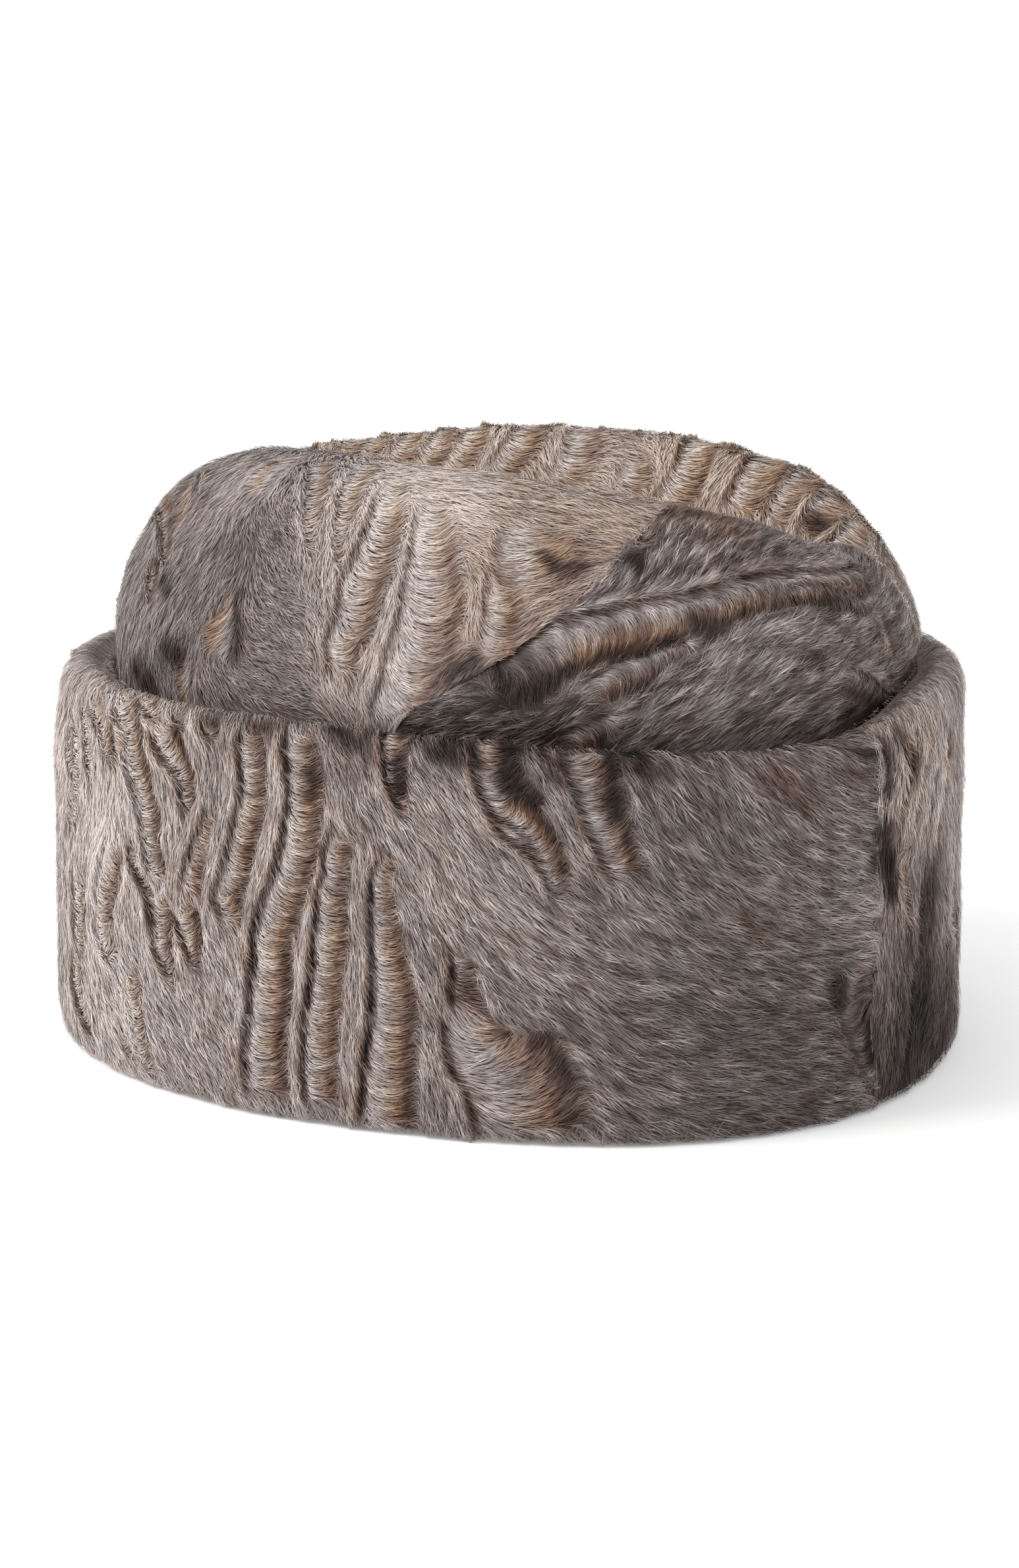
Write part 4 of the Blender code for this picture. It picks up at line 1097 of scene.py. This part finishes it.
def cuff_hide(pelt, sheet, tone, warm, fur_columns, look):
    """Closed band of a cuff pelt, with a face across its loop at each seam."""
    rows, columns = sheet.shape[:2]
    corner = np.arange(rows * columns).reshape(rows, columns)
    ahead = np.roll(corner, -1, axis=1)
    sides = np.stack([corner[:-1], ahead[:-1], ahead[1:], corner[1:]], axis=-1).reshape(-1, 4)
    loops = np.concatenate([sides.ravel(), corner[0, ::-1], corner[-1]])
    sizes = np.concatenate([np.full(len(sides), 4), [columns, columns]])
    name = pelt.name.replace("pelt", "hide")
    hide = link_mesh(name, sheet.reshape(-1, 3), loops, sizes,
                     [undercoat_material(name, look), suede_material(name, look)])
    inside = np.tile(np.arange(columns) >= fur_columns - 1, rows - 1)
    finish_hide(hide, tone, warm, np.concatenate([inside, [True, True]]))
    return hide


def crown_hide(pelt, pick, outer, tone, warm, look):
    """Closed wall of a crown pelt: its fur side, its inner side and a rim round both.

    The inner side lies one wall below the pelt's outline, against the way that it faces.
    """
    inner = pelt.points[pick] - pelt.normal[pick] * CROWN_WALL
    rows, columns = outer.shape[:2]
    count = rows * columns
    grid = np.arange(count).reshape(rows, columns)
    faces = np.stack([grid[:-1, :-1], grid[1:, :-1], grid[1:, 1:], grid[:-1, 1:]], axis=-1).reshape(-1, 4)
    border = np.concatenate([grid[:-1, 0], grid[-1, :-1], grid[:0:-1, -1], grid[0, :0:-1]])
    onward = np.roll(border, -1)
    rim = np.stack([onward, border, border + count, onward + count], axis=-1)
    loops = np.concatenate([faces.ravel(), (faces[:, ::-1] + count).ravel(), rim.ravel()])
    sizes = np.full(len(loops) // 4, 4)
    name = pelt.name.replace("pelt", "hide")
    hide = link_mesh(name, np.concatenate([outer.reshape(-1, 3), inner.reshape(-1, 3)]), loops, sizes,
                     [undercoat_material(name, look), suede_material(name, look)])
    inside = np.concatenate([np.zeros(len(faces)), np.ones(len(faces) + len(rim))]).astype(bool)
    finish_hide(hide, np.concatenate([tone, tone]), np.concatenate([warm, warm]), inside)
    return hide


def finish_hide(hide, tone, warm, inside):
    """Colour attributes, smooth faces and the material of the inner side."""
    mesh = hide.data
    for name, values in (("tone", tone), ("warm", warm)):
        attribute = mesh.attributes.new(name, "FLOAT", "POINT")
        attribute.data.foreach_set("value", values.astype(np.float32).ravel())
    mesh.polygons.foreach_set("material_index", inside.astype(np.int32))
    mesh.polygons.foreach_set("use_smooth", np.ones(len(mesh.polygons), dtype=bool))


def colour_ramp(tree, factor, colours):
    """Colour Ramp node through a list of positions and colours; the socket of its colour."""
    ramp = tree.nodes.new("ShaderNodeValToRGB")
    elements = ramp.color_ramp.elements
    while len(elements) < len(colours):
        elements.new(0.5)
    for element, (position, colour) in zip(elements, colours):
        element.position = position
        element.color = (*colour, 1.0)
    tree.links.new(factor, ramp.inputs["Fac"])
    return ramp.outputs["Color"]


def set_inputs(node, settings):
    """Set a node's input sockets from a dictionary by their names or numbers."""
    for socket, value in settings.items():
        node.inputs[socket].default_value = value


def start_material(name, settings):
    """New node material, its tree and its Principled shader with the given settings."""
    material = bpy.data.materials.new(name)
    material.use_nodes = True
    shader = material.node_tree.nodes["Principled BSDF"]
    set_inputs(shader, settings)
    return material, material.node_tree, shader


def add_noise(tree, scale, detail):
    """Noise on the piece's own coordinates; the socket that carries it."""
    place = tree.nodes.new("ShaderNodeTexCoord")
    noise = tree.nodes.new("ShaderNodeTexNoise")
    set_inputs(noise, {"Scale": scale, "Detail": detail})
    tree.links.new(place.outputs["Object"], noise.inputs["Vector"])
    return noise.outputs["Fac"]


def add_math(tree, operation, value, *numbers):
    """Math node that takes a socket and then numbers or sockets; the socket of its result."""
    node = tree.nodes.new("ShaderNodeMath")
    node.operation = operation
    tree.links.new(value, node.inputs[0])
    for place, number in enumerate(numbers, 1):
        if isinstance(number, float):
            node.inputs[place].default_value = number
        else:
            tree.links.new(number, node.inputs[place])
    return node.outputs["Value"]


def add_bump(tree, shader, height, strength, distance):
    """Bump of the given strength and height in metres, linked to the shader."""
    bump = tree.nodes.new("ShaderNodeBump")
    set_inputs(bump, {"Strength": strength, "Distance": distance})
    tree.links.new(height, bump.inputs["Height"])
    tree.links.new(bump.outputs["Normal"], shader.inputs["Normal"])


def mix_tones(tree, tone, warm, look):
    """Grey and tan ramps read at the same tone and mixed by warmth."""
    mix = tree.nodes.new("ShaderNodeMix")
    mix.data_type = "RGBA"
    tree.links.new(warm, mix.inputs["Factor"])
    greys = (look.black, look.umber, look.grey, look.ash, look.pearl)
    tans = (look.black, look.bistre, look.brown, look.tan, look.cream)
    for side, colours in (("A", greys), ("B", tans)):
        ramp = colour_ramp(tree, tone, list(zip(TONE_STEPS, colours)))
        tree.links.new(ramp, mix.inputs[side])
    return mix.outputs["Result"]


def fur_material(name, look):
    """Hair: its tone and warmth are the two coordinates of the hair's own map."""
    material, tree, shader = start_material(name + "_hair", {
        "Roughness": 0.52, "Specular IOR Level": 0.22, "Sheen Weight": 0.04, "Sheen Roughness": 0.4})
    source = tree.nodes.new("ShaderNodeUVMap")
    source.uv_map = "OFBake"
    split = tree.nodes.new("ShaderNodeSeparateXYZ")
    tree.links.new(source.outputs["UV"], split.inputs["Vector"])
    colour = mix_tones(tree, split.outputs["X"], split.outputs["Y"], look)
    tree.links.new(colour, shader.inputs["Base Color"])
    return material


def undercoat_material(name, look):
    """Dense undercoat that shows between the hairs, darker towards the skin: partly its own darker colour
    and partly painted shade deep in the pile.
    """
    material, tree, shader = start_material(name + "_undercoat", {
        "Roughness": 0.9, "Specular IOR Level": 0.1})
    tone, warm = (tree.nodes.new("ShaderNodeAttribute") for _ in range(2))
    tone.attribute_name, warm.attribute_name = "tone", "warm"
    fibres = add_noise(tree, 900.0, 3.0)
    varied = add_math(tree, "MULTIPLY_ADD", fibres, 0.18, tone.outputs["Fac"])
    lowered = add_math(tree, "SUBTRACT", varied, 0.09)
    colour = mix_tones(tree, lowered, warm.outputs["Fac"], look)
    tree.links.new(colour, shader.inputs["Base Color"])
    add_bump(tree, shader, fibres, 0.6, 0.5 * MM)
    return material


def suede_material(name, look):
    """Flesh side of the skin: pale suede with a fine nap and faint blotches."""
    material, tree, shader = start_material(name + "_suede", {
        "Roughness": 0.95, "Specular IOR Level": 0.1, "Sheen Weight": 0.25})
    blotches = add_noise(tree, 45.0, 3.0)
    colour = colour_ramp(tree, blotches, ((0.3, look.suede_dark), (0.7, look.suede)))
    tree.links.new(colour, shader.inputs["Base Color"])
    add_bump(tree, shader, add_noise(tree, 1400.0, 4.0), 0.5, 0.4 * MM)
    return material


def colour_property(name, description, value):
    """Colour setting with its default."""
    return FloatVectorProperty(name=name, description=description, subtype="COLOR", size=3, min=0.0,
                               max=1.0, default=value)


def length_property(name, description, value, least=0.5 * MM, most=5 * MM):
    """Length setting in metres with its default and its limits."""
    return FloatProperty(name=name, description=description, default=value, min=least, max=most,
                         unit="LENGTH", precision=6)


def share_property(name, description, value):
    """Setting from 0 to 1 with its default."""
    return FloatProperty(name=name, description=description, default=value, min=0.0, max=1.0,
                         subtype="FACTOR")


def turn_property(name, description, value):
    """Angle setting in radians with its default."""
    return FloatProperty(name=name, description=description, default=value, min=0.0, max=3.0,
                         unit="ROTATION")


class HatLook(bpy.types.PropertyGroup):
    """Sizes and colours of the fur."""

    spacing: length_property("Grid", "Spacing of the grid that the fur is worked out on", 0.78 * MM)
    depth: length_property("Depth", "Depth of the skin below the pile's top", 1.5 * MM)
    pile: length_property("Pile", "Height of the hair tips above the skin", 1.3 * MM, 0.2 * MM)
    width: length_property("Hair width", "Width of a hair at its middle", 0.235 * MM, 0.1 * MM, 2 * MM)
    lock: length_property("Lock", "Spacing of the locks that hairs gather into", 1.3 * MM)
    locks: share_property("Lock shading", "How much locks differ in tone", 0.14)
    strand: length_property("Strand", "Breadth of the dark and light strands of a curl", 0.8 * MM, 0.2 * MM)
    stripes: share_property("Strand shading", "How much the strands of a curl differ", 0.22)
    streaks: share_property("Streaks", "How much the streaks of plain fur differ in tone", 0.34)
    flecks: share_property("Flecks", "Share of dark hairs in plain fur", 0.10)
    scatter: turn_property("Scatter", "How far single hairs turn from their neighbours", 0.13)
    vary: share_property("Hair shading", "How much single hairs differ in tone", 0.060)
    roll: turn_property("Roll", "How far hairs roll on their own axis", 0.18)
    # Black colours the roots and also the painted shadow in the furrows
    black: colour_property("Black", "Roots and deepest furrows", (0.014, 0.009, 0.007))
    umber: colour_property("Umber", "Dark grey hair", (0.064, 0.047, 0.042))
    grey: colour_property("Grey", "Middle grey hair", (0.190, 0.161, 0.158))
    ash: colour_property("Ash", "Light grey hair", (0.410, 0.357, 0.351))
    pearl: colour_property("Pearl", "Palest hair", (0.730, 0.668, 0.658))
    bistre: colour_property("Bistre", "Dark brown hair", (0.080, 0.040, 0.026))
    brown: colour_property("Brown", "Middle brown hair", (0.264, 0.146, 0.092))
    tan: colour_property("Tan", "Light tan hair", (0.490, 0.350, 0.245))
    cream: colour_property("Cream", "Palest tan hair", (0.740, 0.620, 0.510))
    suede: colour_property("Suede", "Flesh side of the skin", (0.420, 0.350, 0.290))
    suede_dark: colour_property("Dark suede", "Blotches on the flesh side", (0.300, 0.245, 0.200))


class HatLight(bpy.types.PropertyGroup):
    """Studio round the hat."""

    key: FloatProperty(name="Key", description="Power of the soft light at the upper left", default=19.0,
                       min=0.0, unit="POWER")
    fill: FloatProperty(name="Fill", description="Power of the soft light at the right", default=2.5,
                        min=0.0, unit="POWER")
    sky: FloatProperty(name="Surround", description="Strength of the white surround", default=0.90, min=0.0)
    glow: FloatProperty(name="Floor glow", description="Light that the white floor gives by itself",
                        default=0.16, min=0.0)
    floor: colour_property("Floor", "Pale floor", (0.93, 0.93, 0.93))
    floor_size: IntProperty(name="Floor size", description="Half width of the floor in metres", default=12,
                            min=1)


def add_pelt(context, name):
    """Fur and hide of one pelt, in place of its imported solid."""
    look = context.scene.hat_look
    pelt = make_pelt(name, look.spacing, look.depth)
    pieces = [make_hide(pelt, look)]
    for number, coat in enumerate(COATS):
        pieces.append(grow_fur(pelt, coat, pelt.seed + 100 * number, look))
    for piece in pieces:
        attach(piece, "root")
    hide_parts(name)


class HAT_OT_cuff(bpy.types.Operator):
    """Add the two pelts of the turned-up cuff"""

    bl_idname = "hat.cuff"
    bl_label = "Cuff"

    def execute(self, context):
        add_pelt(context, CUFF_LEFT)
        add_pelt(context, CUFF_RIGHT)
        return {"FINISHED"}


class HAT_OT_crown_left(bpy.types.Operator):
    """Add the pale and the dark pelt of the crown's left side"""

    bl_idname = "hat.crown_left"
    bl_label = "Crown, left"

    def execute(self, context):
        add_pelt(context, CROWN_FRONT)
        add_pelt(context, CROWN_REAR)
        return {"FINISHED"}


class HAT_OT_crown_right(bpy.types.Operator):
    """Add the pelt of the crown's right side and ends"""

    bl_idname = "hat.crown_right"
    bl_label = "Crown, right"

    def execute(self, context):
        add_pelt(context, CROWN_RIGHT)
        return {"FINISHED"}


def add_area_light(name, place, size, power, colour):
    """Square soft light at a place, aimed at the middle of the hat."""
    light = bpy.data.lights.new(name, "AREA")
    light.shape = "SQUARE"
    light.size = size
    light.energy = power
    light.color = colour
    lamp = bpy.data.objects.new(name, light)
    bpy.context.scene.collection.objects.link(lamp)
    away = np.array(place) - np.array(LIGHT_AIM)
    tilt = np.arccos(away[2] / np.linalg.norm(away))
    lamp.location = place
    lamp.rotation_euler = Euler((tilt, 0.0, np.arctan2(away[0], -away[1])))


class HAT_OT_stage(bpy.types.Operator):
    """Add the floor, the lights and the photograph's camera"""

    bl_idname = "hat.stage"
    bl_label = "Stage"

    def execute(self, context):
        scene = context.scene
        light = scene.hat_light
        corners = np.array([(-1, -1, 0), (1, -1, 0), (1, 1, 0), (-1, 1, 0)]) * float(light.floor_size)
        material = start_material("studio_floor", {
            "Base Color": (*light.floor, 1.0), "Roughness": 0.9, "Specular IOR Level": 0.0,
            "Emission Color": WHITE, "Emission Strength": light.glow})[0]
        floor = link_mesh("studio_floor", corners, np.arange(4), [4], [material])

        world = bpy.data.worlds.new("studio_surround")
        world.use_nodes = True
        set_inputs(world.node_tree.nodes["Background"], {"Color": WHITE, "Strength": light.sky})
        scene.world = world
        add_area_light("key_light", (-1.10, -0.80, 1.15), 0.8, light.key, (1.0, 0.985, 0.96))
        add_area_light("fill_light", (1.2, -0.5, 0.7), 1.0, light.fill, (0.97, 0.98, 1.0))
        scene.view_settings.view_transform = "Standard"

        data = bpy.data.cameras.new("photo_camera")
        data.sensor_width = SENSOR
        data.lens = SENSOR * CAMERA_FOCUS / PHOTO_HEIGHT
        camera = bpy.data.objects.new("photo_camera", data)
        scene.collection.objects.link(camera)
        camera.location = camera_frame()[0]
        camera.rotation_euler = Euler((np.radians(90.0 - CAMERA_PITCH), 0.0, np.radians(CAMERA_AZIMUTH)))
        scene.camera = camera
        return {"FINISHED"}


class HAT_PT_panel(bpy.types.Panel):
    """Panel that lists the hat's parts"""

    bl_idname = "HAT_PT_panel"
    bl_label = "Astrakhan Hat"
    bl_space_type = "VIEW_3D"
    bl_region_type = "UI"
    bl_category = "Hat"

    def draw(self, context):
        for operator in OPERATORS:
            self.layout.operator(operator.bl_idname)
        for settings in (context.scene.hat_look, context.scene.hat_light):
            for name in settings.__annotations__:
                self.layout.prop(settings, name)


OPERATORS = (HAT_OT_cuff, HAT_OT_crown_left, HAT_OT_crown_right, HAT_OT_stage)
CLASSES = (HatLook, HatLight, *OPERATORS, HAT_PT_panel)


def register():
    """Register the settings, operators and panel."""
    for item in CLASSES:
        bpy.utils.register_class(item)
    bpy.types.Scene.hat_look = PointerProperty(type=HatLook)
    bpy.types.Scene.hat_light = PointerProperty(type=HatLight)


def unregister():
    """Take them out again."""
    del bpy.types.Scene.hat_light
    del bpy.types.Scene.hat_look
    for item in reversed(CLASSES):
        bpy.utils.unregister_class(item)


def main():
    """Build the stage and the hat."""
    register()
    bpy.ops.hat.stage()
    bpy.ops.hat.cuff()
    bpy.ops.hat.crown_left()
    bpy.ops.hat.crown_right()


if __name__ == "__main__":
    main()
